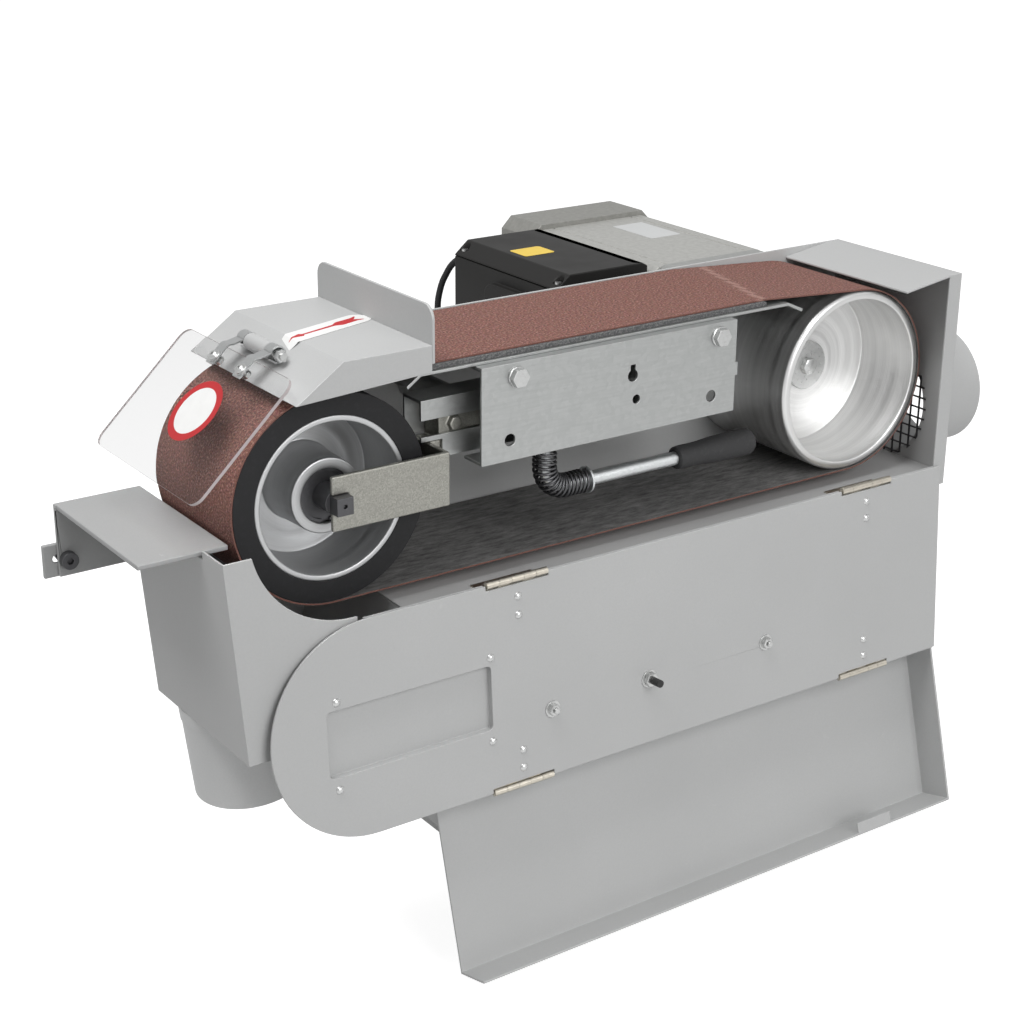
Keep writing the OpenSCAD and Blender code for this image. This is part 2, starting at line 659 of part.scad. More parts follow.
// Place and heading of the rod's centre line at a distance s from the collar
function path_at(s) = s < leg ? [0, collar_z - s]
  : s < leg + bend_r * PI / 2 ? let (a = (s - leg) / bend_r * 180 / PI)
    [bend_r - bend_r * cos(a), lever_z + bend_r - bend_r * sin(a)]
  : [s - leg - bend_r * PI / 2 + bend_r, lever_z];
function heading(s) = s < leg ? -90 : min(0, -90 + (s - leg) / bend_r * 180 / PI);
function coil_at(s, a, r) = let (p = path_at(s), h = heading(s))
  [p[0] - r * cos(a) * sin(h), r * sin(a), p[1] + r * cos(a) * cos(h)];
coil_points = concat([coil_at(0, 0, coil_r)],
  [for (i = [0 : coil_turns * turn_rings]) let (t = i / (coil_turns * turn_rings))
    coil_at(wire_d + coil_l * t, 360 * coil_turns * t, coil_r)],
  [coil_at(coil_l + 2 * wire_d, 0, coil_r)]);
// Least distance between points of neighbouring turns, less the wire
coil_gap = min([for (i = [1 : len(coil_points) - turn_rings], k = [-2 : 2])
  let (j = i + turn_rings + k) if (j < len(coil_points)) norm(coil_points[i] - coil_points[j])])
  - wire_d;

// A tube through points p, with n sides and radius r; start gives the first ring's side direction
function tangent(p, i) = let (a = p[max(i - 1, 0)], b = p[min(i + 1, len(p) - 1)]) (b - a) / norm(b - a);
function sides(p, i, v) = let (t = tangent(p, i), w = v - t * (v * t)) w / norm(w);
function frames(p, i, v) = i >= len(p) ? [] : let (w = sides(p, i, v)) concat([w], frames(p, i + 1, w));
module tube(p, r, n, start) let (f = frames(p, 0, start), m = len(p)) polyhedron(
  points = [for (i = [0 : m - 1]) let (t = tangent(p, i), w = f[i], b = cross(t, w))
    for (k = [0 : n - 1]) p[i] + r * (cos(360 * k / n) * w + sin(360 * k / n) * b)],
  faces = concat([[for (k = [0 : n - 1]) k]], [[for (k = [n - 1 : -1 : 0]) (m - 1) * n + k]],
    [for (i = [0 : m - 2], k = [0 : n - 1]) each
      [[i * n + k, (i + 1) * n + k, i * n + (k + 1) % n],
       [i * n + (k + 1) % n, (i + 1) * n + k, (i + 1) * n + (k + 1) % n]]]));

module lever_spring() color("#333333") head() translate([lever_x, lever_y, 0])
  tube(coil_points, wire_d / 2, wire_sides, [0, 1, 0]);
echo(spring_gap = coil_gap);

// Drive wheel, motor and shaft
cup_y = 75;
web_y = 90;
drive_hub_y = 140;
cup_r = 90;
bolt_washer = 54;
shaft_hub_r = 30;
shield_y = wall_y + sheet;
body_y = shield_y + shield_l;
cowl_y = body_y + motor_l;
bevel = 19;
body_r = motor_r - 6;
body_bevel = 10;
cowl_bevel = 14;
groove = [4, 1.6, 60];
stator_r = 60;
grille_r = 60;
fan_d = 150;
fan_l = 26;
end_wall = 18;

module at_drive() head() translate([centre_d, 0, 0]) children();
module drive_wheel() color("lightgray") at_drive() lathe_y() polygon([
  [shaft_d / 2, cup_y], [shaft_d / 2, drive_hub_y], [shaft_hub_r, drive_hub_y], [shaft_hub_r + 4, web_y],
  [cup_r - 4, web_y], [cup_r - 2, belt_w], [drive_r, belt_w], [drive_r, 3], [drive_r - 3, 0],
  [cup_r, 0], [cup_r - 4, cup_y]]);
module drive_bolt() color("gainsboro") at_drive() {
  bar_y(cup_y - 4, cup_y, bolt_washer);
  hex_y(cup_y - 4 - head_m10[1], cup_y - 4, head_m10[0]);
}
module motor_shaft() color("silver") at_drive() {
  bar_y(cup_y, cowl_y + cowl_l - 22, shaft_d);
  bar_y(body_y + 20, cowl_y - end_wall - 15, 2 * stator_r - 3);
}
module motor_bearings() color("#444444") at_drive()
  for (y = [body_y - bearing_w, cowl_y - bearing_w]) difference() {
    bar_y(y, y + bearing_w, bearing_d);
    bar_y(y - 1, y + bearing_w + 1, shaft_d + 2 * run);
  }
// Square section with bevelled corners
module motor_section(r, b) polygon([[-r, -r + b], [-r, r - b], [-r + b, r], [r - b, r], [r, r - b],
  [r, -r + b], [r - b, -r], [-r + b, -r]]);
module motor_flange() color("silver") at_drive() {
  difference() {
    union() {
      bar_y(shield_y, shield_y + 12, 2 * motor_r);
      plate_y(shield_y + 12, shield_l - 12) motor_section(motor_r - 4, bevel);
    }
    bar_y(shield_y - 1, body_y + 1, bearing_d);
    bar_y(shield_y + 12, body_y - bearing_w - 4, 2 * stator_r + 20);
    for (a = [45 : 90 : 315]) rotate([0, a, 0]) translate([flange_bolts / 2, 0, 0])
      bar_y(shield_y - 1, shield_y + 13, flange_bolt_d);
  }
}
flange_head = 15;
module flange_screws() at_drive() for (a = [45 : 90 : 315])
  rotate([0, a, 0]) translate([flange_bolts / 2, 0, 0]) {
    bar_y(wall_y - 6, wall_y, flange_head);
    bar_y(wall_y - 1, shield_y + 12, flange_bolt_d);
  }
module motor_housing() color("silver") at_drive() difference() {
  plate_y(body_y, motor_l) motor_section(body_r, body_bevel);
  bar_y(body_y - 1, cowl_y - end_wall, 2 * stator_r);
  bar_y(body_y, cowl_y + 1, bearing_d);
  for (a = [0 : 90 : 270], x = [-groove[2], groove[2]]) rotate([0, a, 0])
    span([x - groove[0] / 2, body_y - 1, body_r - groove[1]],
      [x + groove[0] / 2, cowl_y + 1, body_r + 1]);
}
module fan_cowl() color("silver") at_drive() difference() {
  plate_y(cowl_y, cowl_l) motor_section(motor_r, cowl_bevel);
  plate_y(cowl_y + sheet, cowl_l - sheet - 2) motor_section(motor_r - sheet, cowl_bevel);
  bar_y(cowl_y - 1, cowl_y + sheet + 1, fan_d + 4);
  for (x = [-grille_r + 10 : 10 : grille_r - 10]) let (h = sqrt(pow(grille_r, 2) - x * x))
    span([x - 3, cowl_y, -h], [x + 3, cowl_y + cowl_l + 1, h]);
}
fan_y = cowl_y + 12;
module cooling_fan() color("#333333") at_drive() translate([0, fan_y, 0]) difference() {
  union() {
    bar_y(0, fan_l, shaft_d + 20);
    bar_y(0, 2, fan_d);
    for (a = [0 : 45 : 315]) rotate([0, a, 0])
      span([shaft_d / 2 + 6, 1, -1.5], [fan_d / 2 - 1, fan_l - 3, 1.5]);
  }
  bar_y(-1, fan_l + 1, shaft_d);
}

// Switch box with its buttons and the cord's gland
box_x = [centre_d - 214, centre_d - body_r];
box_y = [250, 455];
box_z = [-20, 92];
box_wall = 2.5;
cover_t = 17;
cover_slope = [18, 15];
cover_edge = 8;
recess_d = 13;
recess_z = 11;
recess_in = 9;
bezel_y = [272, 382];
bezel_z = [-2, 60];
bezel_t = 8;
gland_x = box_x[0] + 39;
gland_z = 62;
start_y = 300;
stop_y = 355;
button_z = 30;
start_d = 22;
stop_d = 28;
button_travel = 4;

module switch_box() color("#222222") head() difference() {
  union() {
    span([box_x[0], box_y[0], box_z[0]], [box_x[1], box_y[1], box_z[1] - cover_t]);
    translate([box_x[0] - bezel_t, bezel_y[0], bezel_z[0]]) rotate([90, 0, 90]) linear_extrude(bezel_t + 1)
      round_rect(bezel_y[1] - bezel_y[0], bezel_z[1] - bezel_z[0], 16);
  }
  span([box_x[0] + box_wall, box_y[0] + box_wall, box_z[0] + box_wall],
    [box_x[1] - box_wall, box_y[1] - box_wall, box_z[1]]);
  translate([0, start_y, button_z]) bar_x(box_x[0] - bezel_t - 1, box_x[0] + 9, start_d + 0.4);
  translate([0, stop_y, button_z]) bar_x(box_x[0] - bezel_t - 1, box_x[0] + 9, stop_d + 0.4);
}
module box_posts(d, z0, z1)
  for (x = [box_x[0] + recess_in, box_x[1] - recess_in], y = [box_y[0] + recess_in, box_y[1] - recess_in])
    translate([x, y, z0]) cylinder(h = z1 - z0, d = d);
// Cover's outline across the box, drawn in by a wall on the inside
module cover_section(w) polygon([[box_x[0] + w, box_z[1] - cover_t - w],
  [box_x[0] + w, box_z[1] - cover_slope[1] - w / 2], [box_x[0] + cover_slope[0] + w / 2, box_z[1] - w],
  [box_x[1] - cover_edge - w / 2, box_z[1] - w], [box_x[1] - w, box_z[1] - cover_edge / 2 - w / 2],
  [box_x[1] - w, box_z[1] - cover_t - w]]);
module box_cover() color("#222222") head() difference() {
  union() {
    difference() {
      plate_y(box_y[0], box_y[1] - box_y[0]) cover_section(0);
      plate_y(box_y[0] + box_wall, box_y[1] - box_y[0] - 2 * box_wall) cover_section(box_wall);
    }
    intersection() {
      plate_y(box_y[0], box_y[1] - box_y[0]) cover_section(0);
      box_posts(recess_d + 2 * box_wall, box_z[1] - cover_t, box_z[1]);
    }
  }
  box_posts(recess_d, box_z[1] - recess_z, box_z[1] + 1);
  box_posts(4.2, box_z[1] - cover_t - 1, box_z[1]);
}
module motor_screws() color("gainsboro") {
  flange_screws();
  cover_screws();
}
module cover_screws() head() {
  box_posts(4, box_z[1] - cover_t - 8, box_z[1] - recess_z);
  box_posts(8, box_z[1] - recess_z, box_z[1] - recess_z + 2.2);
}
module push_button(y, d) translate([0, y, button_z]) {
  bar_x(box_x[0] - bezel_t - button_travel - 1, box_x[0] + box_wall + 6, d);
  bar_x(box_x[0] + box_wall + clear, box_x[0] + box_wall + 3, d + 6);
}
module start_button() color("green") head() push_button(start_y, start_d);
module stop_button() color("red") head() push_button(stop_y, stop_d);

cord_d = 8;
gland_l = 17;
module cable_gland() color("#222222") head() translate([gland_x, 0, gland_z]) {
  hex_y(box_y[1], box_y[1] + 7, 26);
  bar_y(box_y[1], box_y[1] + gland_l, 19);
}

// Cord: chosen points from the gland down to the coil on the floor, in the part's own frame
cord_route = [[30, 312, 582], [30, 321, 582], [29, 329, 581], [27, 337, 578], [24, 344, 573],
  [20, 349, 566], [16, 352, 557], [12, 354, 548], [9, 355, 538], [6, 355, 526], [5, 355, 513],
  [4, 356, 480], [0, 358, 440], [-5, 361, 400], [-11, 365, 350], [-18, 369, 300], [-26, 373, 250],
  [-33, 377, 200], [-39, 381, 155], [-43, 384, 115], [-46, 386, 80], [-47, 385, 60], [-48, 382, 42],
  [-49, 376, 26], [-50, 367, 14], [-50, 357, 7], [-50, 348, 4], [-50, 340, 4]];
// Coil: its loops spiral in on the floor and out again one layer up
coil_x = 6;
coil_y = 332;
loop_r = 56;
loop_pitch = 8.5;
layer_z = 9;
loops = 3;
turns = 2 * loops - 0.75;
tail_l = 50;
loop_rings = 24;
cord_sides = 8;
function loop_at(t) = let (a = 180 + 360 * t, inward = t < loops ? t : 2 * loops - t,
    up = min(1, max(0, (t - loops + 0.25) * 2)))
  [coil_x + (loop_r - loop_pitch * inward) * cos(a), coil_y + (loop_r - loop_pitch * inward) * sin(a),
   cord_d / 2 + layer_z * up];
loop_points = [for (i = [0 : turns * loop_rings]) loop_at(i / loop_rings)];
coil_exit = loop_points[len(loop_points) - 1];
plug_at = coil_exit + [tail_l, 0, 0];
plug_w = 36;
plug_h = 2 * (cord_d / 2 + layer_z);
plug_l = 40;
plug_pin = [4.8, 19];
loop_gap = min([for (i = [0 : len(loop_points) - 1 - loop_rings / 2],
  j = [i + loop_rings / 2 : len(loop_points) - 1]) norm(loop_points[i] - loop_points[j])]) - cord_d;
echo(cord_gap = loop_gap);

module mains_cord() color("#1c1c1c") tube(cord_route, cord_d / 2, cord_sides, [1, 0, 0]);
module cord_coil() color("#1c1c1c")
  tube(concat([loop_points[0] + [0, cord_d, 0]], loop_points, [for (k = [15, 30, tail_l])
    coil_exit + [k, 0, 0]]), cord_d / 2, cord_sides, [1, 0, 0]);
module plug() color("#1c1c1c") translate(plug_at) rotate([0, 90, 0]) {
  cylinder(h = 12, d = 14);
  translate([-plug_h / 2, -plug_w / 2, 12]) linear_extrude(plug_l) round_rect(plug_h, plug_w, 8);
  for (y = [-9.5, 9.5]) translate([0, y, 12]) cylinder(h = plug_l + plug_pin[1], d = plug_pin[0]);
}

// Tool rest and the arm that carries it
rest_y = 7;
belt_out = contact_r + belt_gap + belt_t;
rest_x1 = -(sqrt(pow(belt_out, 2) - pow(rest_z, 2)) + rest_gap);
rest_x0 = rest_x1 - rest_l;
side_z = -97;
side_x = [rest_x0 - 1, rest_x0 + 73];
side_y = rest_y + rest_w - rest_t;
arm_gap = 0.3;
arm_z = [-98, -65];
arm_x = [-203, -60];
screw_at = [-181.5, -80];
screw_m8 = 8;
post_x = [-102, -74];

module tool_rest() color("silver") head() difference() {
  union() {
    translate([rest_x0, rest_y, rest_z - rest_t]) cube([rest_l, rest_w, rest_t]);
    span([side_x[0], side_y, side_z], [side_x[1], side_y + rest_t, rest_z]);
    span([side_x[0] + 18, side_y - 18, rest_z - rest_t - 14], [side_x[0] + 40, side_y, rest_z - rest_t]);
  }
  translate([screw_at[0], 0, screw_at[1]]) bar_y(side_y - 1, side_y + rest_t + 1, screw_m8 + 2 * run);
}
module rest_screw() color("#222222") head() translate([screw_at[0], side_y, screw_at[1]]) difference() {
  union() {
    bar_y(-8, 0, 17);
    bar_y(-1, rest_t + 2 * arm_gap + 12, screw_m8);
    hex_y(rest_t + 2 * arm_gap + 5, rest_t + 2 * arm_gap + 11, 13);
  }
  hex_y(-9, -4, 6);
}
module rest_arm() color("silver") head() let (y = side_y + rest_t + arm_gap) {
  difference() {
    span([arm_x[0], y, arm_z[0]], [arm_x[1], y + 5, arm_z[1]]);
    span([screw_at[0] - rest_travel, y - 1, screw_at[1] - screw_m8 / 2 - clear],
      [screw_at[0], y + 6, screw_at[1] + screw_m8 / 2 + clear]);
    for (x = [screw_at[0] - rest_travel, screw_at[0]]) translate([x, 0, screw_at[1]])
      bar_y(y - 1, y + 6, screw_m8 + 2 * clear);
  }
  for (x = post_x) translate([x, 0, (arm_z[0] + arm_z[1]) / 2]) {
    bar_y(wall_y + sheet, y, 18);
    hex_y(y + 5, y + 10, 13);
  }
}

// Door: drawn closed and turned open about its hinge
door_open = 180 - door_lean;
door_in = front_y - clear;
door_out = door_in - door_t;
door_top = hinge_z + door_h;
pin_gap = 0.05;
leaf_t = 1.2;
leaf_h = 40;
knuckles = 5;
window_x = [-38, 143];
window_s = [81, 147.5];
pan_d = 6.4;
pan_t = 1.5;
pan_edge = 20;
door_rivets = [[-27, 73], [143, 73], [142, 159.6], [-29, 159.8]];
leaf_x = [177.2, 637.6];
rivet_d = 4;
handle_x = [213.5, 492.5];
handle_s = 145;
handle_out = 36;
handle_d = 11;
nut_m6 = [10, 5];

module open_door() head() translate([0, hinge_y, hinge_z]) rotate([door_open, 0, 0])
  translate([0, -hinge_y, -hinge_z]) children();
module knuckle_cuts(z0, z1, y0, y1) for (h = hinge_x) span([h[0] - 1, y0, z0], [h[1] + 1, y1, z1]);
module rivet_holes() {
  for (p = door_rivets) translate([p[0], 0, hinge_z + p[1]]) bar_y(door_out - 1, door_in + 1, rivet_d);
  for (x = leaf_x, s = [18, 37, door_h - 37, door_h - 18]) translate([x, 0, hinge_z + s])
    bar_y(door_out - 1, door_in + 1, rivet_d);
}
module rivet(x, s, out) translate([x, 0, hinge_z + s]) {
  bar_y(door_out - out, door_in + 0.5, rivet_d);
  translate([0, door_in, 0]) rotate([-90, 0, 0]) cylinder(h = 2, d1 = 8, d2 = 4);
}
module door_panel() color("silver") open_door() difference() {
  plate_y(door_out, door_t) difference() {
    union() {
      translate([door_h / 2 + door_left, hinge_z]) square([door_x1 - door_left - door_h / 2, door_h]);
      translate([door_h / 2 + door_left, hinge_z + door_h / 2]) circle(d = door_h, $fn = 128);
    }
    translate([window_x[0], hinge_z + window_s[0]])
      round_rect(window_x[1] - window_x[0], window_s[1] - window_s[0], 5);
    translate([lock_x, hinge_z + handle_s]) circle(d = stud_d + 2 * run);
    for (x = handle_x) translate([x, hinge_z + handle_s]) circle(d = 6);
  }
  knuckle_cuts(hinge_z - 1, hinge_z + leaf_gap, door_out - 1, door_in + 1);
  knuckle_cuts(door_top - leaf_gap, door_top + 1, door_out - 1, door_in + 1);
  rivet_holes();
}
door_left = -96.2;
stud_d = 8;
knob_d = 34;

module door_plate() color("silver") open_door() {
  difference() {
    span([window_x[0] - pan_edge, door_out - pan_d, hinge_z + window_s[0] - pan_edge],
      [window_x[1] + pan_edge, door_out, hinge_z + window_s[1] + pan_edge]);
    span([window_x[0] - pan_edge - 1, door_out - pan_d - 1, hinge_z + window_s[0] - pan_edge - 1],
      [window_x[0] - pan_t, door_out - pan_t, hinge_z + window_s[1] + pan_edge + 1]);
    span([window_x[1] + pan_t, door_out - pan_d - 1, hinge_z + window_s[0] - pan_edge - 1],
      [window_x[1] + pan_edge + 1, door_out - pan_t, hinge_z + window_s[1] + pan_edge + 1]);
    span([window_x[0] - pan_edge, door_out - pan_d - 1, hinge_z + window_s[0] - pan_edge - 1],
      [window_x[1] + pan_edge, door_out - pan_t, hinge_z + window_s[0] - pan_t]);
    span([window_x[0] - pan_edge, door_out - pan_d - 1, hinge_z + window_s[1] + pan_t],
      [window_x[1] + pan_edge, door_out - pan_t, hinge_z + window_s[1] + pan_edge + 1]);
    span([window_x[0], door_out - pan_d + pan_t, hinge_z + window_s[0]],
      [window_x[1], door_out + 1, hinge_z + window_s[1]]);
  }
  for (p = door_rivets) rivet(p[0], p[1], pan_t);
}
module door_handle() color("#222222") open_door() translate([0, 0, hinge_z + handle_s]) {
  translate([0, door_out - handle_out + handle_d / 2, 0]) bar_x(handle_x[0], handle_x[1], handle_d);
  for (x = handle_x) translate([x, 0, 0]) {
    translate([0, door_out - handle_out + handle_d / 2, 0]) sphere(d = handle_d);
    bar_y(door_out - handle_out + handle_d / 2, door_out, handle_d);
    bar_y(door_out - 1, door_in + nut_m6[1] + 2, 6);
    hex_y(door_in, door_in + nut_m6[1], nut_m6[0]);
  }
}
module lock_knob() color("#222222") open_door() translate([lock_x, 0, hinge_z + handle_s]) {
  bar_y(door_out - 14, door_out - clear, knob_d);
  bar_y(door_out - 2, channel_y0 - 1.3, stud_d);
  bar_y(door_in + clear, door_in + clear + 1.5, 14);
}

// Hinge knuckles number i of n along a hinge
module knuckle(h, y, z, keep) for (i = [0 : knuckles - 1]) if (i % 2 == keep)
  let (l = (h[1] - h[0]) / knuckles) translate([0, y, z]) difference() {
    bar_x(h[0] + i * l + 0.15, h[0] + (i + 1) * l - 0.15, knuckle_d);
    bar_x(h[0] - 1, h[1] + 1, pin_d + 2 * pin_gap);
  }
module tray_hinges() color("gainsboro") head() for (h = hinge_x) {
  difference() {
    union() {
      knuckle(h, hinge_y, hinge_z, 0);
      for (i = [0 : 2 : knuckles - 1]) let (l = (h[1] - h[0]) / knuckles)
        span([h[0] + i * l + 0.15, hinge_y, hinge_z - notch],
          [h[0] + (i + 1) * l - 0.15, front_y + sheet + leaf_t, hinge_z - notch + leaf_t]);
    }
    translate([0, hinge_y, hinge_z]) bar_x(h[0] - 1, h[1] + 1, pin_d + 2 * pin_gap);
  }
  span([h[0], front_y + sheet, -tray_z + sheet], [h[1], front_y + sheet + leaf_t, hinge_z - notch + leaf_t]);
  span([h[0], front_y + sheet, -tray_z + sheet], [h[1], front_y + sheet + 22, -tray_z + sheet + leaf_t]);
  translate([0, hinge_y, hinge_z]) bar_x(h[0], h[1], pin_d);
}
module leaf(h, z0, z1) span([h[0], door_out - leaf_t, z0], [h[1], door_out, z1]);
module door_hinges() color("gainsboro") open_door() for (j = [0, 1]) let (h = hinge_x[j]) {
  difference() {
    union() {
      knuckle(h, hinge_y, hinge_z, 1);
      leaf(h, hinge_z + leaf_gap, hinge_z + leaf_h);
      for (i = [1 : 2 : knuckles - 1]) let (l = (h[1] - h[0]) / knuckles)
        leaf([h[0] + i * l + 0.15, h[0] + (i + 1) * l - 0.15], hinge_z, hinge_z + leaf_gap + 1);
    }
    translate([0, hinge_y, hinge_z]) bar_x(h[0] - 1, h[1] + 1, pin_d + 2 * pin_gap);
  }
  difference() {
    union() {
      knuckle(h, hinge_y, door_top, 1);
      leaf(h, door_top - leaf_h, door_top - leaf_gap);
      for (i = [1 : 2 : knuckles - 1]) let (l = (h[1] - h[0]) / knuckles)
        leaf([h[0] + i * l + 0.15, h[0] + (i + 1) * l - 0.15], door_top - leaf_gap - 1, door_top);
    }
    translate([0, hinge_y, door_top]) bar_x(h[0] - 1, h[1] + 1, pin_d + 2 * pin_gap);
  }
  for (s = [18, 37, door_h - 37, door_h - 18]) rivet(leaf_x[j], s, leaf_t);
}

// Lid: drawn closed, turned on the door's free edge
lid_open = 90 - lid_fold;
lid_z0 = door_top + 1;
lid_z1 = door_top + lid_h;
lid_y1 = hinge_y + lid_l - 2;
back_z0 = wall_top + 1;
latch_x = [606, 656];

module open_lid() open_door() translate([0, hinge_y, door_top]) rotate([lid_open, 0, 0])
  translate([0, -hinge_y, -door_top]) children();
module lid_panel() color("silver") open_lid() {
  span([lid_x0, door_out, lid_z1 - door_t], [door_x1, lid_y1, lid_z1]);
  difference() {
    span([lid_x0, door_out, lid_z0], [door_x1, door_in, lid_z1]);
    knuckle_cuts(door_top, door_top + leaf_gap, door_out - 1, door_in + 1);
  }
  span([lid_x0, lid_y1 - door_t, back_z0], [door_x1, lid_y1, lid_z1]);
  span([door_x1 - door_t, door_out, back_z0], [door_x1, lid_y1, lid_z1]);
  span([latch_x[0], lid_y1 - 14, back_z0], [latch_x[1], lid_y1, back_z0 + 2]);
}
module lid_hinges() color("gainsboro") open_lid() for (h = hinge_x) {
  difference() {
    union() {
      knuckle(h, hinge_y, door_top, 0);
      leaf(h, door_top + leaf_gap, door_top + leaf_h);
      for (i = [0 : 2 : knuckles - 1]) let (l = (h[1] - h[0]) / knuckles)
        leaf([h[0] + i * l + 0.15, h[0] + (i + 1) * l - 0.15], door_top, door_top + leaf_gap + 1);
    }
    translate([0, hinge_y, door_top]) bar_x(h[0] - 1, h[1] + 1, pin_d + 2 * pin_gap);
  }
  translate([0, hinge_y, door_top]) bar_x(h[0], h[1], pin_d);
}

back_wall();
belt_tray();
spark_box();
end_housing();
exhaust_tube();
exhaust_mesh();
spark_duct();
base_column();
foot_plate();
platen_channel();
channel_bolts();
channel_spacers();
platen_plate();
graphite_pad();
slide_rail();
hood();
fence();
guard_barrel();
motor_flange();
motor_screws();
motor_housing();
motor_bearings();
fan_cowl();
switch_box();
box_cover();
start_button();
stop_button();
cable_gland();
mains_cord();
cord_coil();
plug();
abrasive_belt();
motor_shaft();
drive_wheel();
drive_bolt();
cooling_fan();
yoke();
slide_bar();
wheel_axle();
wheel_hub();
wheel_tyre();
wheel_bearings();
lever_shaft();
lever_spring();
lever_rod();
lever_grip();
rest_arm();
tool_rest();
rest_screw();
guard_screen();
guard_straps();
guard_bolts();
tray_hinges();
door_panel();
door_plate();
door_handle();
lock_knob();
door_hinges();
lid_panel();
lid_hinges();
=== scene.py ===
import math
import bmesh
import bpy
import numpy as np
from mathutils import Matrix, Vector
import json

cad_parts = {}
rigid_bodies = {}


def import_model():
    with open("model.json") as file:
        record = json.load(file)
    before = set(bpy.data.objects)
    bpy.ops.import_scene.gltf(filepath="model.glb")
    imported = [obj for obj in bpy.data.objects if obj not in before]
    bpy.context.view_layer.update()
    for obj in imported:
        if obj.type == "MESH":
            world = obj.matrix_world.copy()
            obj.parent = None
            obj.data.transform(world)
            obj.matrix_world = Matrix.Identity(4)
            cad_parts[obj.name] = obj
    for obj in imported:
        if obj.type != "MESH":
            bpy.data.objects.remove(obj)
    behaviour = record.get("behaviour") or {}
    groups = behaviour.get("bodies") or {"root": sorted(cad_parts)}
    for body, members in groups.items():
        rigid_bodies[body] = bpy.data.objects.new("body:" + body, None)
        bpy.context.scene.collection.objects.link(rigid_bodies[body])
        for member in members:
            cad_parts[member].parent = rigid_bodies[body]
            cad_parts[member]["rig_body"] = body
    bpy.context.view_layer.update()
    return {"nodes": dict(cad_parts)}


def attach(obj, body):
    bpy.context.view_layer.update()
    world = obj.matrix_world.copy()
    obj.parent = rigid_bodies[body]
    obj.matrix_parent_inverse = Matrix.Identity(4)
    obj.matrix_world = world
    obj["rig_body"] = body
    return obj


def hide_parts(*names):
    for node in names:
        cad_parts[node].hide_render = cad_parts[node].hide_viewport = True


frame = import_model()
cadNodes = frame["nodes"]
tau = 2 * math.pi

# Sizes are in millimetres from the contact wheel's axis at the belt's front edge, +X to the drive wheel.
wheelAxis = np.array([-440.0, -160.0, 520.0])


def place(points):
    # from millimetres at the contact wheel to metres in the part's frame
    return (np.asarray(points, float) + wheelAxis) / 1000


# Camera at the photograph's viewing angle
cameraSetup = {"place": (-1.256597, -1.611528, 1.146639), "target": (-0.2417, -0.1600, 0.4649),
               "lens": 69.04, "sensor": 36.0, "rollDegrees": 0.4, "clip": (0.05, 200)}


def newObject(name, data):
    thing = bpy.data.objects.new(name, data)
    bpy.context.scene.collection.objects.link(thing)
    return thing


def addCamera(setup):
    data = bpy.data.cameras.new("camera")
    data.lens = setup["lens"]
    data.sensor_width = setup["sensor"]
    data.clip_start, data.clip_end = setup["clip"]
    camera = newObject("camera", data)
    aim = Vector(setup["target"]) - Vector(setup["place"])
    turn = aim.to_track_quat("-Z", "Y").to_matrix().to_4x4()
    roll = Matrix.Rotation(math.radians(setup["rollDegrees"]), 4, "Z")
    camera.matrix_world = Matrix.Translation(setup["place"]) @ turn @ roll
    bpy.context.scene.camera = camera


addCamera(cameraSetup)


# Material helpers: each takes the tree and returns an output socket
def link(tree, value, socket):
    if isinstance(value, bpy.types.NodeSocket):
        tree.links.new(value, socket)
    else:
        socket.default_value = value


def newMaterial(name, colour, roughness, metal=0.0, **sockets):
    material = bpy.data.materials.new(name)
    material.use_nodes = True
    tree = material.node_tree
    shader = tree.nodes["Principled BSDF"]
    shader.inputs["Base Color"].default_value = (*colour, 1)
    shader.inputs["Roughness"].default_value = roughness
    shader.inputs["Metallic"].default_value = metal
    for key, value in sockets.items():
        shader.inputs[key].default_value = value
    return material, tree, shader


def objectPoint(tree, centre=(0, 0, 0), stretch=(1, 1, 1)):
    coords = tree.nodes.new("ShaderNodeTexCoord")
    mapping = tree.nodes.new("ShaderNodeMapping")
    mapping.inputs["Location"].default_value = [-c * s for c, s in zip(centre, stretch)]
    mapping.inputs["Scale"].default_value = stretch
    tree.links.new(coords.outputs["Object"], mapping.inputs["Vector"])
    return mapping.outputs["Vector"]


def noise(tree, point, scale, detail=2.0, rough=0.5):
    node = tree.nodes.new("ShaderNodeTexNoise")
    tree.links.new(point, node.inputs["Vector"])
    node.inputs["Scale"].default_value = scale
    node.inputs["Detail"].default_value = detail
    node.inputs["Roughness"].default_value = rough
    return node.outputs["Fac"]


def cells(tree, point, scale):
    node = tree.nodes.new("ShaderNodeTexVoronoi")
    tree.links.new(point, node.inputs["Vector"])
    node.inputs["Scale"].default_value = scale
    return node.outputs["Color"]


def spread(tree, value, low, high, start=0.0, end=1.0):
    # a value from start..end of its range to low..high
    node = tree.nodes.new("ShaderNodeMapRange")
    link(tree, value, node.inputs["Value"])
    for key, number in (("From Min", start), ("From Max", end), ("To Min", low), ("To Max", high)):
        node.inputs[key].default_value = number
    return node.outputs["Result"]


def arithmetic(tree, kind, a, b=0.0):
    node = tree.nodes.new("ShaderNodeMath")
    node.operation = kind
    link(tree, a, node.inputs[0])
    link(tree, b, node.inputs[1])
    return node.outputs[0]


def mixed(tree, share, first, second, kind="MIX"):
    node = tree.nodes.new("ShaderNodeMix")
    node.data_type = "RGBA"
    node.blend_type = kind
    link(tree, share, node.inputs[0])
    for value, socket in ((first, node.inputs[6]), (second, node.inputs[7])):
        link(tree, value if isinstance(value, bpy.types.NodeSocket) else (*value, 1), socket)
    return node.outputs[2]


def bumped(tree, shader, height, distance, strength=1.0):
    node = tree.nodes.new("ShaderNodeBump")
    node.inputs["Strength"].default_value = strength
    node.inputs["Distance"].default_value = distance
    tree.links.new(height, node.inputs["Height"])
    tree.links.new(node.outputs["Normal"], shader.inputs["Normal"])


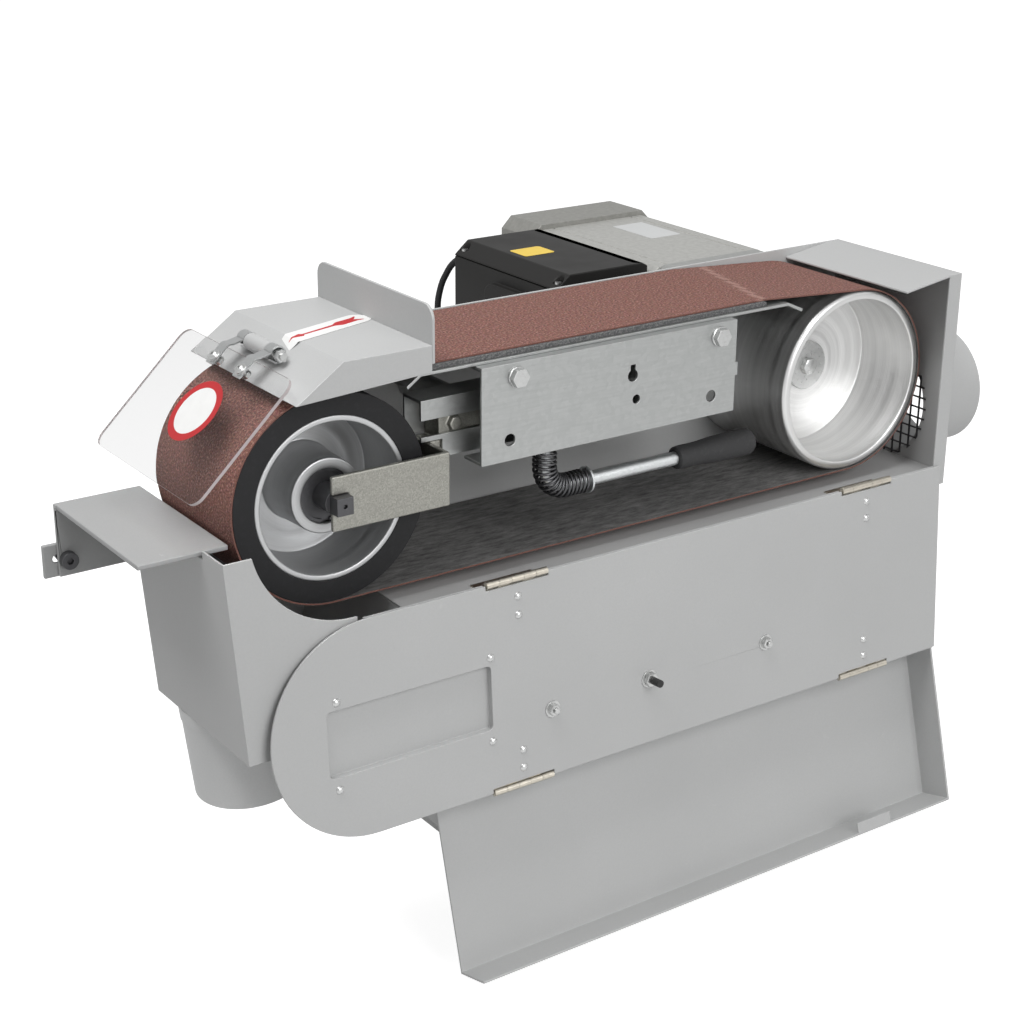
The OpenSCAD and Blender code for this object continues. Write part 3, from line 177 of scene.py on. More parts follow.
def shade(colour, factor):
    return tuple(min(1.0, c * factor) for c in colour)


def mottled(tree, value, colour, shades, within):
    # the colour times the first shade where the value is at the start of within, times the second at its end
    return mixed(tree, spread(tree, value, 0, 1, *within), *(shade(colour, factor) for factor in shades))


def finished(tree, shader, base, value=None, roughness=(0, 1), within=(0.3, 0.7)):
    # the surface's colour and, from low to high over the value's middle, its roughness
    tree.links.new(base, shader.inputs["Base Color"])
    if value is not None:
        tree.links.new(spread(tree, value, *roughness, *within), shader.inputs["Roughness"])


# Painted sheet: fine even grain, faint clouds and a few rubbed spots; a share is how far a mark covers
paintLook = {"colour": (0.452, 0.456, 0.455), "cloud": 5, "cloudShades": (0.965, 1.03), "grain": 620,
             "grainShade": 0.90, "grainShare": 0.5, "spots": 38, "rubbed": (0.56, 0.56, 0.555),
             "rubbedShare": 0.35, "roughness": (0.40, 0.52), "bump": 0.00005}


def paintedSheet(name, look, factor=1.0):
    colour = shade(look["colour"], factor)
    material, tree, shader = newMaterial(name, colour, 0.45)
    point = objectPoint(tree)
    grain = noise(tree, point, look["grain"], 3, 0.6)
    cloud = noise(tree, point, look["cloud"], 4, 0.55)
    base = mottled(tree, cloud, colour, look["cloudShades"], (0.3, 0.7))
    speckle = spread(tree, grain, 0, look["grainShare"], 0.35, 0.75)
    base = mixed(tree, speckle, base, shade(colour, look["grainShade"]))
    spots = noise(tree, point, look["spots"], 6, 0.75)
    base = mixed(tree, spread(tree, spots, 0, look["rubbedShare"], 0.66, 0.74), base, look["rubbed"])
    finished(tree, shader, base, cloud, look["roughness"])
    bumped(tree, shader, grain, look["bump"], 0.6)
    return material


# Zinc coated plate: a dull metal with small spangles and fine rolling lines
zincLook = {"colour": (0.43, 0.44, 0.435), "spangle": 190, "roughness": (0.34, 0.5), "lines": (1, 1, 14),
            "metal": 0.85, "flake": (0.92, 1.05), "smear": 22, "smearShade": 0.88, "smearShare": 0.5,
            "grain": 900, "bump": 0.00004}
yokeLook = {**zincLook, "colour": (0.33, 0.326, 0.295), "spangle": 800, "roughness": (0.36, 0.5),
            "lines": (1, 1, 3), "flake": (0.72, 1.2)}
ribbonLook = {**zincLook, "colour": (0.50, 0.51, 0.51), "spangle": 900, "roughness": (0.26, 0.36),
              "lines": (1, 1, 1), "metal": 0.95}


def zincPlate(name, look):
    colour = look["colour"]
    material, tree, shader = newMaterial(name, colour, 0.4, look["metal"])
    point = objectPoint(tree)
    flakes = cells(tree, point, look["spangle"])
    smears = noise(tree, objectPoint(tree, stretch=look["lines"]), look["smear"], 5, 0.6)
    base = mixed(tree, flakes, *(shade(colour, factor) for factor in look["flake"]))
    base = mixed(tree, spread(tree, smears, 0, look["smearShare"], 0.35, 0.7), base,
                 shade(colour, look["smearShade"]))
    finished(tree, shader, base, smears, look["roughness"])
    bumped(tree, shader, noise(tree, point, look["grain"], 3, 0.6), look["bump"], 0.5)
    return material


def bareMetal(name, colour, roughness, grain=260, metal=1.0):
    # a plated or machined small part: mottled gloss and faint marks
    material, tree, shader = newMaterial(name, colour, roughness, metal)
    point = objectPoint(tree)
    mottle = noise(tree, point, grain, 4, 0.6)
    base = mottled(tree, mottle, colour, (0.93, 1.04), (0.35, 0.7))
    finished(tree, shader, base, mottle, (roughness * 0.85, roughness * 1.2))
    bumped(tree, shader, noise(tree, point, grain * 4, 2), 0.00001, 0.3)
    return material


def turnedMetal(name, colour, axis, roughness, ringDepth):
    # lathe marks: noise over the distance from the axle and along it only, so it runs round in rings
    material, tree, shader = newMaterial(name, colour, roughness, 1.0)
    centre = place((axis[0], 0, axis[1]))
    split = tree.nodes.new("ShaderNodeSeparateXYZ")
    tree.links.new(objectPoint(tree, centre), split.inputs[0])
    x, y, z = split.outputs
    radius = arithmetic(tree, "SQRT", arithmetic(tree, "ADD", arithmetic(tree, "MULTIPLY", x, x),
                                                 arithmetic(tree, "MULTIPLY", z, z)))
    join = tree.nodes.new("ShaderNodeCombineXYZ")
    tree.links.new(radius, join.inputs[0])
    tree.links.new(y, join.inputs[1])
    rings = noise(tree, join.outputs[0], 900, 3, 0.7)
    bands = noise(tree, join.outputs[0], 110, 2, 0.5)
    base = mottled(tree, bands, colour, (0.88, 1.06), (0.3, 0.7))
    base = mixed(tree, spread(tree, rings, 0, 0.6, 0.4, 0.75), base, shade(colour, 0.8))
    finished(tree, shader, base, bands, (roughness * 0.8, roughness * 1.3))
    bumped(tree, shader, rings, ringDepth)
    return material


dullGloss = {"Specular IOR Level": 0.25}  # for rubber and grained plastic


def blackRubber(name, colour, roughness, dust, scale=150):
    # dusty scuffs over fine pits
    material, tree, shader = newMaterial(name, colour, roughness, **dullGloss)
    point = objectPoint(tree)
    scuffs = noise(tree, point, scale, 6, 0.7)
    pits = noise(tree, point, 1500, 2)
    base = mixed(tree, spread(tree, scuffs, 0, dust, 0.5, 0.8), colour, shade(colour, 4.0))
    finished(tree, shader, base, scuffs, (roughness * 0.85, roughness * 1.2), (0.3, 0.8))
    bumped(tree, shader, pits, 0.00006, 0.5)
    return material


def mouldedPlastic(name, colour, roughness):
    # a fine grain in the mould and faint clouds of wear
    material, tree, shader = newMaterial(name, colour, roughness, **dullGloss)
    point = objectPoint(tree)
    fine = noise(tree, point, 1100, 2)
    cloud = noise(tree, point, 14, 4)
    base = mottled(tree, cloud, colour, (0.9, 1.12), (0.35, 0.65))
    finished(tree, shader, base, cloud, (roughness * 0.9, roughness * 1.15))
    bumped(tree, shader, fine, 0.00005, 0.5)
    return material


def castAluminium(name, colour, roughness):
    # paint over sand-cast metal: soft lumps under a fine grain
    material, tree, shader = newMaterial(name, colour, roughness, 0.35)
    point = objectPoint(tree)
    lumps = noise(tree, point, 160, 4, 0.6)
    fine = noise(tree, point, 900, 2)
    finished(tree, shader, mottled(tree, lumps, colour, (0.9, 1.08), (0.35, 0.7)))
    relief = arithmetic(tree, "ADD", lumps, arithmetic(tree, "MULTIPLY", fine, 0.3))
    bumped(tree, shader, relief, 0.00025, 0.5)
    return material


def clearSheet(name, colour, ior, roughness, clear):
    # clear plastic whose faint marks are a little rougher; clear is the share of light that goes through
    material, tree, shader = newMaterial(name, colour, roughness[0], IOR=ior)
    shader.inputs["Transmission Weight"].default_value = clear
    marks = noise(tree, objectPoint(tree), 60, 6, 0.7)
    tree.links.new(spread(tree, marks, *roughness, 0.45, 0.8), shader.inputs["Roughness"])
    return material


padLook = {"colour": (0.062, 0.063, 0.064), "light": (0.22, 0.22, 0.22), "grain": 640}


def graphiteCloth(name, look):
    material, tree, shader = newMaterial(name, look["colour"], 0.7)
    point = objectPoint(tree)
    specks = noise(tree, point, look["grain"], 3, 0.7)
    finished(tree, shader, mixed(tree, spread(tree, specks, 0, 1, 0.45, 0.72), look["colour"], look["light"]))
    bumped(tree, shader, specks, 0.0002, 0.7)
    return material


beltLook = {"grit": (0.222, 0.089, 0.068), "gritDark": (0.082, 0.030, 0.023), "coarse": 470, "fine": 1000,
            "gritLight": (0.44, 0.26, 0.215), "fineShare": 0.3, "weave": 40, "drawn": (1, 4, 1),
            "backing": (0.054, 0.053, 0.052), "backingLight": (0.225, 0.222, 0.218),
            "splice": (0.42, 0.26, 0.22), "spliceShare": 0.55}


def beltCloth(name, look):
    # UV is metres along and across the belt; the attribute inner is 1 on the wheels' side
    material, tree, shader = newMaterial(name, look["grit"], 0.75)
    uv = tree.nodes.new("ShaderNodeUVMap")
    uv.uv_map = "along"
    coarse = noise(tree, uv.outputs[0], look["coarse"], 2, 0.6)
    fine = cells(tree, uv.outputs[0], look["fine"])
    grit = mixed(tree, spread(tree, coarse, 0, 1, 0.38, 0.52), look["gritDark"], look["grit"])
    grit = mixed(tree, spread(tree, coarse, 0, 0.9, 0.56, 0.68), grit, look["gritLight"])
    grit = mixed(tree, look["fineShare"], grit, fine, "MULTIPLY")
    seam = tree.nodes.new("ShaderNodeAttribute")
    seam.attribute_name = "splice"
    seamShare = arithmetic(tree, "MULTIPLY", seam.outputs["Fac"], look["spliceShare"])
    grit = mixed(tree, seamShare, grit, look["splice"])
    drawn = tree.nodes.new("ShaderNodeMapping")
    drawn.inputs["Scale"].default_value = look["drawn"]
    tree.links.new(uv.outputs[0], drawn.inputs["Vector"])
    weave = noise(tree, drawn.outputs["Vector"], look["weave"], 9, 0.8)
    backing = mixed(tree, spread(tree, weave, 0, 1, 0.36, 0.66), look["backing"], look["backingLight"])
    side = tree.nodes.new("ShaderNodeAttribute")
    side.attribute_name = "inner"
    finished(tree, shader, mixed(tree, side.outputs["Fac"], grit, backing))
    bumped(tree, shader, coarse, 0.00014, 0.6)
    return material


def patchMaterial(name, colour, roughness):
    material, tree, shader = newMaterial(name, colour, roughness)
    point = objectPoint(tree)
    cloud = noise(tree, point, 90, 4)
    finished(tree, shader, mixed(tree, cloud, shade(colour, 0.93), shade(colour, 1.04)))
    bumped(tree, shader, noise(tree, point, 400, 2), 0.00003, 0.4)
    return material


paint = paintedSheet("sheetPaint", paintLook)
basePaint = paintedSheet("basePaint", paintLook, 0.8)
# the tool rest's and its arm's paint darkened to 0.79: painted shade for the shade that falls on the rest
restPaintedShade = paintedSheet("restPaintedShade", paintLook, 0.79)
# the spark duct's paint lightened 1.45 times: painted light making up for the shade it lies in under the
# spark box
ductPaintedLight = paintedSheet("ductPaintedLight", paintLook, 1.45)
plate = zincPlate("zincPlate", zincLook)
yokePlate = zincPlate("yokePlate", yokeLook)
ribbonZinc = zincPlate("ribbonZinc", ribbonLook)
fastener = bareMetal("zincFastener", (0.58, 0.585, 0.58), 0.3)
nickel = bareMetal("hingeNickel", (0.62, 0.58, 0.50), 0.34)
rodSteel = bareMetal("rodSteel", (0.66, 0.68, 0.685), 0.42, 400)
darkSteel = bareMetal("darkSteel", (0.10, 0.10, 0.105), 0.42, 300, 0.8)
springSteel = bareMetal("springSteel", (0.105, 0.105, 0.11), 0.36, 500, 0.9)
hubMetal = turnedMetal("hubMetal", (0.52, 0.525, 0.53), (0, 0), 0.46, 0.00003)
driveMetal = turnedMetal("driveMetal", (0.78, 0.78, 0.775), (645, 0), 0.42, 0.00002)
tyreRubber = blackRubber("tyreRubber", (0.013, 0.013, 0.014), 0.6, 0.3)
gripRubber = blackRubber("gripRubber", (0.036, 0.036, 0.037), 0.6, 0.2, 240)
cordRubber = blackRubber("cordSheath", (0.022, 0.022, 0.023), 0.5, 0.12, 300)
boxPlastic = mouldedPlastic("boxPlastic", (0.0115, 0.011, 0.0105), 0.5)
knobPlastic = mouldedPlastic("knobPlastic", (0.03, 0.03, 0.03), 0.4)
greenPlastic = mouldedPlastic("greenPlastic", (0.04, 0.30, 0.08), 0.3)
redPlastic = mouldedPlastic("redPlastic", (0.52, 0.025, 0.02), 0.3)
motorMetal = castAluminium("motorPaint", (0.43, 0.43, 0.41), 0.45)
cowlMetal = castAluminium("cowlPaint", (0.27, 0.268, 0.25), 0.5)
flangeMetal = castAluminium("flangePaint", (0.33, 0.335, 0.325), 0.45)
guardClear = clearSheet("guardClear", (0.895, 0.895, 0.895), 1.12, (0.01, 0.05), 1.0)
# the screen's edge faces: nearly opaque pinkish grey, painted reflection of the light the clear edges show
guardEdgePaintedReflection = clearSheet("guardEdgePaintedReflection", (0.50, 0.45, 0.45), 1.2, (0.3, 0.45), 0.15)
padCloth = graphiteCloth("padCloth", padLook)
beltMaterial = beltCloth("beltCloth", beltLook)

nodeFinish = {
    paint: "back_wall belt_tray spark_box end_housing exhaust_tube hood fence guard_barrel door_panel"
           " door_plate lid_panel",
    restPaintedShade: "rest_arm tool_rest",
    ductPaintedLight: "spark_duct",
    basePaint: "base_column foot_plate",
    plate: "platen_channel slide_rail platen_plate channel_spacers",
    yokePlate: "yoke slide_bar",
    fastener: "channel_bolts motor_screws drive_bolt guard_bolts",
    ribbonZinc: "guard_straps",
    nickel: "tray_hinges door_hinges lid_hinges",
    rodSteel: "lever_rod lever_shaft motor_shaft",
    darkSteel: "wheel_axle wheel_bearings motor_bearings rest_screw exhaust_mesh",
    springSteel: "lever_spring",
    hubMetal: "wheel_hub",
    driveMetal: "drive_wheel",
    tyreRubber: "wheel_tyre",
    gripRubber: "lever_grip",
    cordRubber: "mains_cord cord_coil plug cable_gland",
    boxPlastic: "switch_box box_cover cooling_fan",
    knobPlastic: "door_handle lock_knob",
    greenPlastic: "start_button",
    redPlastic: "stop_button",
    motorMetal: "motor_housing",
    cowlMetal: "fan_cowl",
    flangeMetal: "motor_flange",
    guardClear: "guard_screen",
    padCloth: "graphite_pad",
    beltMaterial: "abrasive_belt",
}
finishOf = {node: material for material, names in nodeFinish.items() for node in names.split()}
for node, thing in cadNodes.items():
    thing.data.materials.clear()
    thing.data.materials.append(finishOf[node])
print("materials set")


# Piece helpers
def addPiece(name, mesh, material, body, smooth=True):
    mesh.materials.append(material)
    piece = newObject(name, mesh)
    if smooth:
        mesh.polygons.foreach_set("use_smooth", np.ones(len(mesh.polygons), bool))
    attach(piece, body)
    return piece


def meshFrom(name, points, faces):
    mesh = bpy.data.meshes.new(name)
    mesh.from_pydata(np.asarray(points, float).reshape(-1, 3).tolist(), [], np.asarray(faces).tolist())
    mesh.validate()
    return mesh


def gridFaces(rows, columns, closeRows=False, closeColumns=False):
    # quads of a rows x columns grid of points, joined round where asked
    i = np.arange(rows if closeRows else rows - 1)[:, None]
    j = np.arange(columns if closeColumns else columns - 1)[None, :]
    i2, j2 = (i + 1) % rows, (j + 1) % columns
    quads = [i * columns + j, i2 * columns + j, i2 * columns + j2, i * columns + j2]
    return np.stack(np.broadcast_arrays(*quads), -1).reshape(-1, 4)


def standIn(node, name, mesh):
    # a piece with the node's own finish and body, shown in its place
    piece = addPiece(name, mesh, finishOf[node], cadNodes[node]["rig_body"])
    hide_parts(node)
    return piece


def facingOut(mesh, mergeWithin=0.0):
    # the mesh's faces turned outwards, after points within the given metres of each other are merged
    shape = bmesh.new()
    shape.from_mesh(mesh)
    if mergeWithin:
        bmesh.ops.remove_doubles(shape, verts=shape.verts, dist=mergeWithin)
    bmesh.ops.recalc_face_normals(shape, faces=shape.faces)
    shape.to_mesh(mesh)
    shape.free()


# Sheets and small parts keep the source's shape and get rounded edges; degrees tell flat, sharp and creased
edgeSetup = {"mergeWithin": 2e-6, "flat": 0.15, "sharp": 32, "creased": 35, "segments": 2}


def softened(node, width, setup):
    # the node's own surface, merged, with each sharp edge rounded by width in millimetres
    shape = bmesh.new()
    shape.from_mesh(cadNodes[node].data)
    bmesh.ops.remove_doubles(shape, verts=shape.verts, dist=setup["mergeWithin"])
    flat = math.radians(setup["flat"])
    bmesh.ops.dissolve_limit(shape, angle_limit=flat, verts=shape.verts, edges=shape.edges)
    mesh = bpy.data.meshes.new(node + "Soft")
    shape.to_mesh(mesh)
    shape.free()
    piece = standIn(node, node + "Soft", mesh)
    bevel = piece.modifiers.new("roundEdges", "BEVEL")
    bevel.width = width / 1000
    bevel.segments = setup["segments"]
    bevel.limit_method = "ANGLE"
    bevel.angle_limit = math.radians(setup["sharp"])
    bevel.use_clamp_overlap = False
    flatten = piece.modifiers.new("flatFaces", "WEIGHTED_NORMAL")
    flatten.keep_sharp = True
    flatten.weight = 100


edgeRadius = {
    0.7: "back_wall belt_tray spark_box end_housing hood fence door_panel door_plate lid_panel",
    1.2: "tool_rest rest_arm base_column foot_plate",
    0.6: "platen_channel slide_rail platen_plate wheel_axle",
    1.8: "yoke slide_bar",
    0.8: "motor_flange motor_housing fan_cowl graphite_pad exhaust_tube",
    1.5: "box_cover switch_box",
    0.5: "channel_bolts wheel_tyre rest_screw",
}
for width, names in edgeRadius.items():
    for node in names.split():
        softened(node, width, edgeSetup)
print("edges rounded")


def smoothRoute(points, step):
    # a smooth curve through the points: cubic Hermite pieces whose slopes are the mean of the two chords
    p = np.asarray(points, float)
    slope = np.gradient(p, axis=0)
    out = []
    for a, b, da, db in zip(p[:-1], p[1:], slope[:-1], slope[1:]):
        t = np.linspace(0, 1, max(2, int(np.linalg.norm(b - a) / step)), endpoint=False)[:, None]
        out.append((2 * t**3 - 3 * t**2 + 1) * a + (t**3 - 2 * t**2 + t) * da
                   + (3 * t**2 - 2 * t**3) * b + (t**3 - t**2) * db)
    return np.vstack([*out, p[-1:]])


def unit(rows):
    return rows / np.linalg.norm(rows, axis=1)[:, None]


def lengthAlong(path):
    # the distance from the path's start to each of its points
    return np.concatenate([[0], np.cumsum(np.linalg.norm(np.diff(path, axis=0), axis=1))])


def pathFrames(path, first):
    # two directions square to the path and to each other, carried along it without twist
    ahead = unit(np.gradient(path, axis=0))
    side = np.empty_like(ahead)
    last = np.asarray(first, float)
    for k, t in enumerate(ahead):
        last = last - t * (last @ t)
        last = last / np.linalg.norm(last)
        side[k] = last
    return side, np.cross(ahead, side)


def tubeMesh(name, path, radius, sides, first):
    # a circle of the given radius, or radii, carried along the path, closed by a point at each end
    side, up = pathFrames(path, first)
    radii = np.broadcast_to(np.asarray(radius, float), len(path))[:, None, None]
    angle = np.linspace(0, tau, sides, endpoint=False)[None, :, None]
    rings = path[:, None] + radii * (np.cos(angle) * side[:, None] + np.sin(angle) * up[:, None])
    count = len(path) * sides
    points = np.vstack([rings.reshape(-1, 3), path[:1], path[-1:]])
    quads = gridFaces(len(path), sides, closeColumns=True)[:, ::-1]
    k = np.arange(sides)
    start = np.stack([k, (k + 1) % sides, np.full(sides, count)], 1)[:, ::-1]
    end = np.stack([k, (k + 1) % sides, np.full(sides, count + 1)], 1)
    end[:, :2] += (len(path) - 1) * sides
    mesh = bpy.data.meshes.new(name)
    mesh.from_pydata(points.tolist(), [], quads.tolist() + start.tolist() + end.tolist())
    return mesh


# Mains cord: the source's route and coil, as one smooth tube
cordSetup = {"radius": 4.0, "sides": 16, "step": 4.0, "loopRadius": 56, "pitch": 8.5, "layer": 9, "loops": 3,
             "leftOff": 0.75, "climbBefore": 0.25, "climbTurns": 0.5, "stepsPerTurn": 32, "centre": (6, 332),
             "tail": (15, 30, 50), "reliefLength": 30, "reliefRadius": (7.6, 4.9), "reliefSides": 20,
             "ribs": 6, "ribHeight": 0.35}
cordRoute = [(30, 312, 582), (30, 321, 582), (29, 329, 581), (27, 337, 578), (24, 344, 573), (20, 349, 566),
             (16, 352, 557), (12, 354, 548), (9, 355, 538), (6, 355, 526), (5, 355, 513), (4, 356, 480),
             (0, 358, 440), (-5, 361, 400), (-11, 365, 350), (-18, 369, 300), (-26, 373, 250),
             (-33, 377, 200), (-39, 381, 155), (-43, 384, 115), (-46, 386, 80), (-47, 385, 60),
             (-48, 382, 42), (-49, 376, 26), (-50, 367, 14), (-50, 357, 7), (-50, 348, 4), (-50, 340, 4)]


def coilPoints(setup):
    # turns spiral in by one pitch each on the floor, climb a layer in half a turn and spiral out again
    loops = setup["loops"]
    turns = 2 * loops - setup["leftOff"]
    t = np.linspace(0, turns, int(turns * setup["stepsPerTurn"]) + 1)
    inward = np.where(t < loops, t, 2 * loops - t)
    radius = setup["loopRadius"] - setup["pitch"] * inward
    angle = math.pi + tau * t
    climb = np.clip((t - loops + setup["climbBefore"]) / setup["climbTurns"], 0, 1)
    x, y = setup["centre"]
    return np.stack([x + radius * np.cos(angle), y + radius * np.sin(angle),
                     setup["radius"] + setup["layer"] * climb], 1)


def makeCord(setup):
    # one tube down the route and round the coil, with a tapering ribbed sleeve where it leaves the switch box
    coil = coilPoints(setup)
    tail = [coil[-1] + (k, 0, 0) for k in setup["tail"]]
    route = smoothRoute(cordRoute, setup["step"])
    path = np.vstack([route, coil, tail]) / 1000
    cordMesh = tubeMesh("mainsCord", path, setup["radius"] / 1000, setup["sides"], (1, 0, 0))
    cord = addPiece("mainsCord", cordMesh, cordRubber, "machine")
    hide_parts("mains_cord", "cord_coil")
    along = lengthAlong(route)
    held = route[along <= setup["reliefLength"]]
    shares = along[:len(held)] / setup["reliefLength"]
    wide, narrow = setup["reliefRadius"]
    ribs = setup["ribHeight"] * np.cos(shares * tau * setup["ribs"])
    radii = wide + (narrow - wide) * shares + ribs
    sleeveMesh = tubeMesh("cordRelief", held / 1000, radii / 1000, setup["reliefSides"], (1, 0, 0))
    sleeve = addPiece("cordRelief", sleeveMesh, cordRubber, "machine")


makeCord(cordSetup)


# Abrasive belt: a thin section carried round the loop; v is the place across it
beltSetup = {"width": 150, "thick": 1.5, "gap": 0.3, "contactRadius": 100, "driveRadius": 99.5,
             "centres": 645, "padTop": 109.1, "padEnds": (97, 512), "step": 6.0, "across": 40,
             "arcPoints": 90, "frayed": 0.35, "seed": 3, "creased": 40,
             "splice": (553, 508), "spliceWidth": 3.0, "spliceAbove": 90}


def arcPoints(centre, radius, start, end, count):
    angle = np.radians(np.linspace(start, end, count))
    return np.stack([centre + radius * np.cos(angle), radius * np.sin(angle)], 1)


def touchAngle(x, z, radius, side):
    # direction from a wheel's centre to where a line from (x, z) touches it
    return math.degrees(math.atan2(z, x) + side * math.acos(radius / math.hypot(x, z)))


def beltLoop(setup):
    # the belt's inner line: two wheel arcs, the straight runs and the pad's flat top, in even steps
    near, far = setup["contactRadius"] + setup["gap"], setup["driveRadius"] + setup["gap"]
    z, (x0, x1), span = setup["padTop"], setup["padEnds"], setup["centres"]
    left = arcPoints(0, near, touchAngle(x0, z, near, 1), 270, setup["arcPoints"])
    right = arcPoints(span, far, -90, touchAngle(x1 - span, z, far, -1), setup["arcPoints"])
    corners = np.vstack([left, right, [[x1, z], [x0, z]], left[:1]])
    out = []
    for a, b in zip(corners[:-1], corners[1:]):
        count = max(1, int(np.linalg.norm(b - a) / setup["step"]))
        out.append(a + (b - a) * np.linspace(0, 1, count, endpoint=False)[:, None])
    return np.vstack(out)


def makeBelt(setup):
    # the line, and the line moved out by the thickness, repeated across the width between frayed edges
    line = beltLoop(setup)
    count = len(line)
    ahead = unit(np.roll(line, -1, 0) - np.roll(line, 1, 0))
    outward = np.stack([ahead[:, 1], -ahead[:, 0]], 1)
    outward *= np.sign((outward * (line - line.mean(0))).sum(1).mean())
    along = lengthAlong(line)
    across = np.linspace(0, 1, setup["across"])
    v = np.concatenate([across, across[::-1]])
    out = np.concatenate([np.ones(setup["across"]), np.zeros(setup["across"])])
    rough = np.random.default_rng(setup["seed"]).normal(0, 1, (2, count))
    smooth = (rough + np.roll(rough, 1, 1) + np.roll(rough, 2, 1)) / 3 * setup["frayed"]
    low = np.abs(smooth[0])[:, None]
    high = setup["width"] - np.abs(smooth[1])[:, None]
    y = low + (high - low) * v
    lift = setup["thick"] * out
    points = np.stack([line[:, :1] + outward[:, :1] * lift, y, line[:, 1:] + outward[:, 1:] * lift], -1)
    columns = len(v)
    faces = gridFaces(count, columns, closeRows=True, closeColumns=True)
    mesh = meshFrom("belt", place(points), faces)
    uv = mesh.uv_layers.new(name="along")
    row, column = faces // columns, faces % columns
    closing = (row == 0) & (row.max(1, keepdims=True) == count - 1)
    u = np.where(closing, along[-1] + setup["step"], along[row])
    flat = np.stack([u / 1000, v[column] * setup["width"] / 1000 + (1 - out[column])], -1)
    uv.data.foreach_set("uv", flat.astype(np.float32).ravel())
    inner = mesh.attributes.new("inner", "FLOAT", "CORNER")
    bothIn = out[column].max(1) < 0.5
    inner.data.foreach_set("value", np.repeat(bothIn, 4).astype(np.float32))
    backX, frontX = setup["splice"]
    lineX = backX + (frontX - backX) * (1 - v)[None, :]
    onLine = (np.abs(points[..., 0] - lineX) < setup["spliceWidth"]) & (points[..., 2] > setup["spliceAbove"])
    seam = mesh.attributes.new("splice", "FLOAT", "POINT")
    seam.data.foreach_set("value", onLine.astype(np.float32).ravel())
    mesh.set_sharp_from_angle(angle=math.radians(setup["creased"]))
    standIn("abrasive_belt", "beltLoop", mesh)


makeBelt(beltSetup)
print("belt made")

# Lever's spring: the source's helix round the bent rod, with a rounder wire
springSetup = {"x": 240, "y": 5, "leverZ": -42, "bend": 24, "collarZ": 2.5, "rodEnd": 290, "coil": 11,
               "wire": 1.45, "turns": 17, "rings": 26, "sides": 10}


def makeSpring(setup):
    # the rod's line goes down, round a quarter circle and along; the wire circles it at the coil's radius
    bend, wire, reach = setup["bend"], setup["wire"], setup["coil"]
    leg = setup["collarZ"] - setup["leverZ"] - bend
    quarter = bend * math.pi / 2
    length = leg + quarter + setup["rodEnd"] - setup["x"] - bend
    wound = np.linspace(0, 1, setup["turns"] * setup["rings"] + 1)
    s = np.concatenate([[0], 2 * wire + (length - 4 * wire) * wound, [length]])
    angle = np.concatenate([[0], tau * setup["turns"] * wound, [0]])
    a = np.clip((s - leg) / bend, 0, math.pi / 2)
    x = bend - bend * np.cos(a) + np.maximum(0, s - leg - quarter)
    z = np.where(s < leg, setup["collarZ"] - s, setup["leverZ"] + bend - bend * np.sin(a))
    heading = a - math.pi / 2
    points = np.stack([x - reach * np.cos(angle) * np.sin(heading) + setup["x"],
                       reach * np.sin(angle) + setup["y"],
                       z + reach * np.cos(angle) * np.cos(heading)], 1)
    mesh = tubeMesh("leverSpring", place(points), wire / 1000, setup["sides"], (0, 1, 0))
    standIn("lever_spring", "leverSpring", mesh)


makeSpring(springSetup)
print("spring wound")


# Turned small parts: a profile of (radius, height) round an axis
def latheMesh(name, profile, centre, axis, sides=40):
    p = np.asarray(profile, float)
    axis = np.asarray(axis, float) / np.linalg.norm(axis)
    side = np.cross(axis, [0, 0, 1] if abs(axis[2]) < 0.9 else [1, 0, 0])
    side /= np.linalg.norm(side)
    up = np.cross(axis, side)
    angle = np.linspace(0, tau, sides, endpoint=False)[:, None, None]
    ring = (np.cos(angle) * side + np.sin(angle) * up) * p[None, :, :1] + axis * p[None, :, 1:]
    faces = gridFaces(sides, len(p), closeRows=True)
    mesh = meshFrom(name, place(np.asarray(centre, float) + ring.reshape(-1, 3)), faces)
    facingOut(mesh, 1e-7)
    mesh.set_sharp_from_angle(angle=math.radians(edgeSetup["creased"]))
    return mesh


def joinMeshes(name, meshes):
    whole = bmesh.new()
    for mesh in meshes:
        whole.from_mesh(mesh)
        bpy.data.meshes.remove(mesh)
    mesh = bpy.data.meshes.new(name)
    whole.to_mesh(mesh)
    whole.free()
    mesh.set_sharp_from_angle(angle=math.radians(edgeSetup["creased"]))
    return mesh


def easedProfile(corners, cut, mostOfSide=0.45):
    # each corner becomes a short quadratic curve that leaves and meets its sides cut millimetres away
    p = np.asarray(corners, float)
    t = np.linspace(0, 1, 4)[:, None]
    out = []
    for before, at, after in zip(np.roll(p, 1, 0), p, np.roll(p, -1, 0)):
        a = at + (before - at) * min(cut / np.linalg.norm(before - at), mostOfSide)
        b = at + (after - at) * min(cut / np.linalg.norm(after - at), mostOfSide)
        out.append((1 - t)**2 * a + 2 * t * (1 - t) * at + t**2 * b)
    return np.vstack([*out, out[0][:1]])


# Wheels as lathe surfaces: the source's sections with eased corners, as (radius, place along the axle)
wheelSetup = {"hubCentre": (0, 0, 0), "driveCentre": (645, 0, 0), "cut": 1.6, "sides": 144,
              "hub": [(73, 0), (78.5, 0), (78.5, 138), (73, 138), (71, 70), (38, 70), (36, 128), (26, 128),
                      (26, 109), (23, 109), (23, 29), (26, 29), (26, 10), (36, 10), (38, 62), (71, 62)],
              "drive": [(14, 75), (14, 140), (30, 140), (34, 90), (86, 90), (88, 150), (99.5, 150), (99.5, 3),
                        (96.5, 0), (90, 0), (86, 75)]}


def makeWheels(setup):
    for node, part in (("wheel_hub", "hub"), ("drive_wheel", "drive")):
        section = easedProfile(setup[part], setup["cut"])
        mesh = latheMesh(node + "Turned", section, setup[part + "Centre"], (0, 1, 0), setup["sides"])
        standIn(node, node + "Turned", mesh)


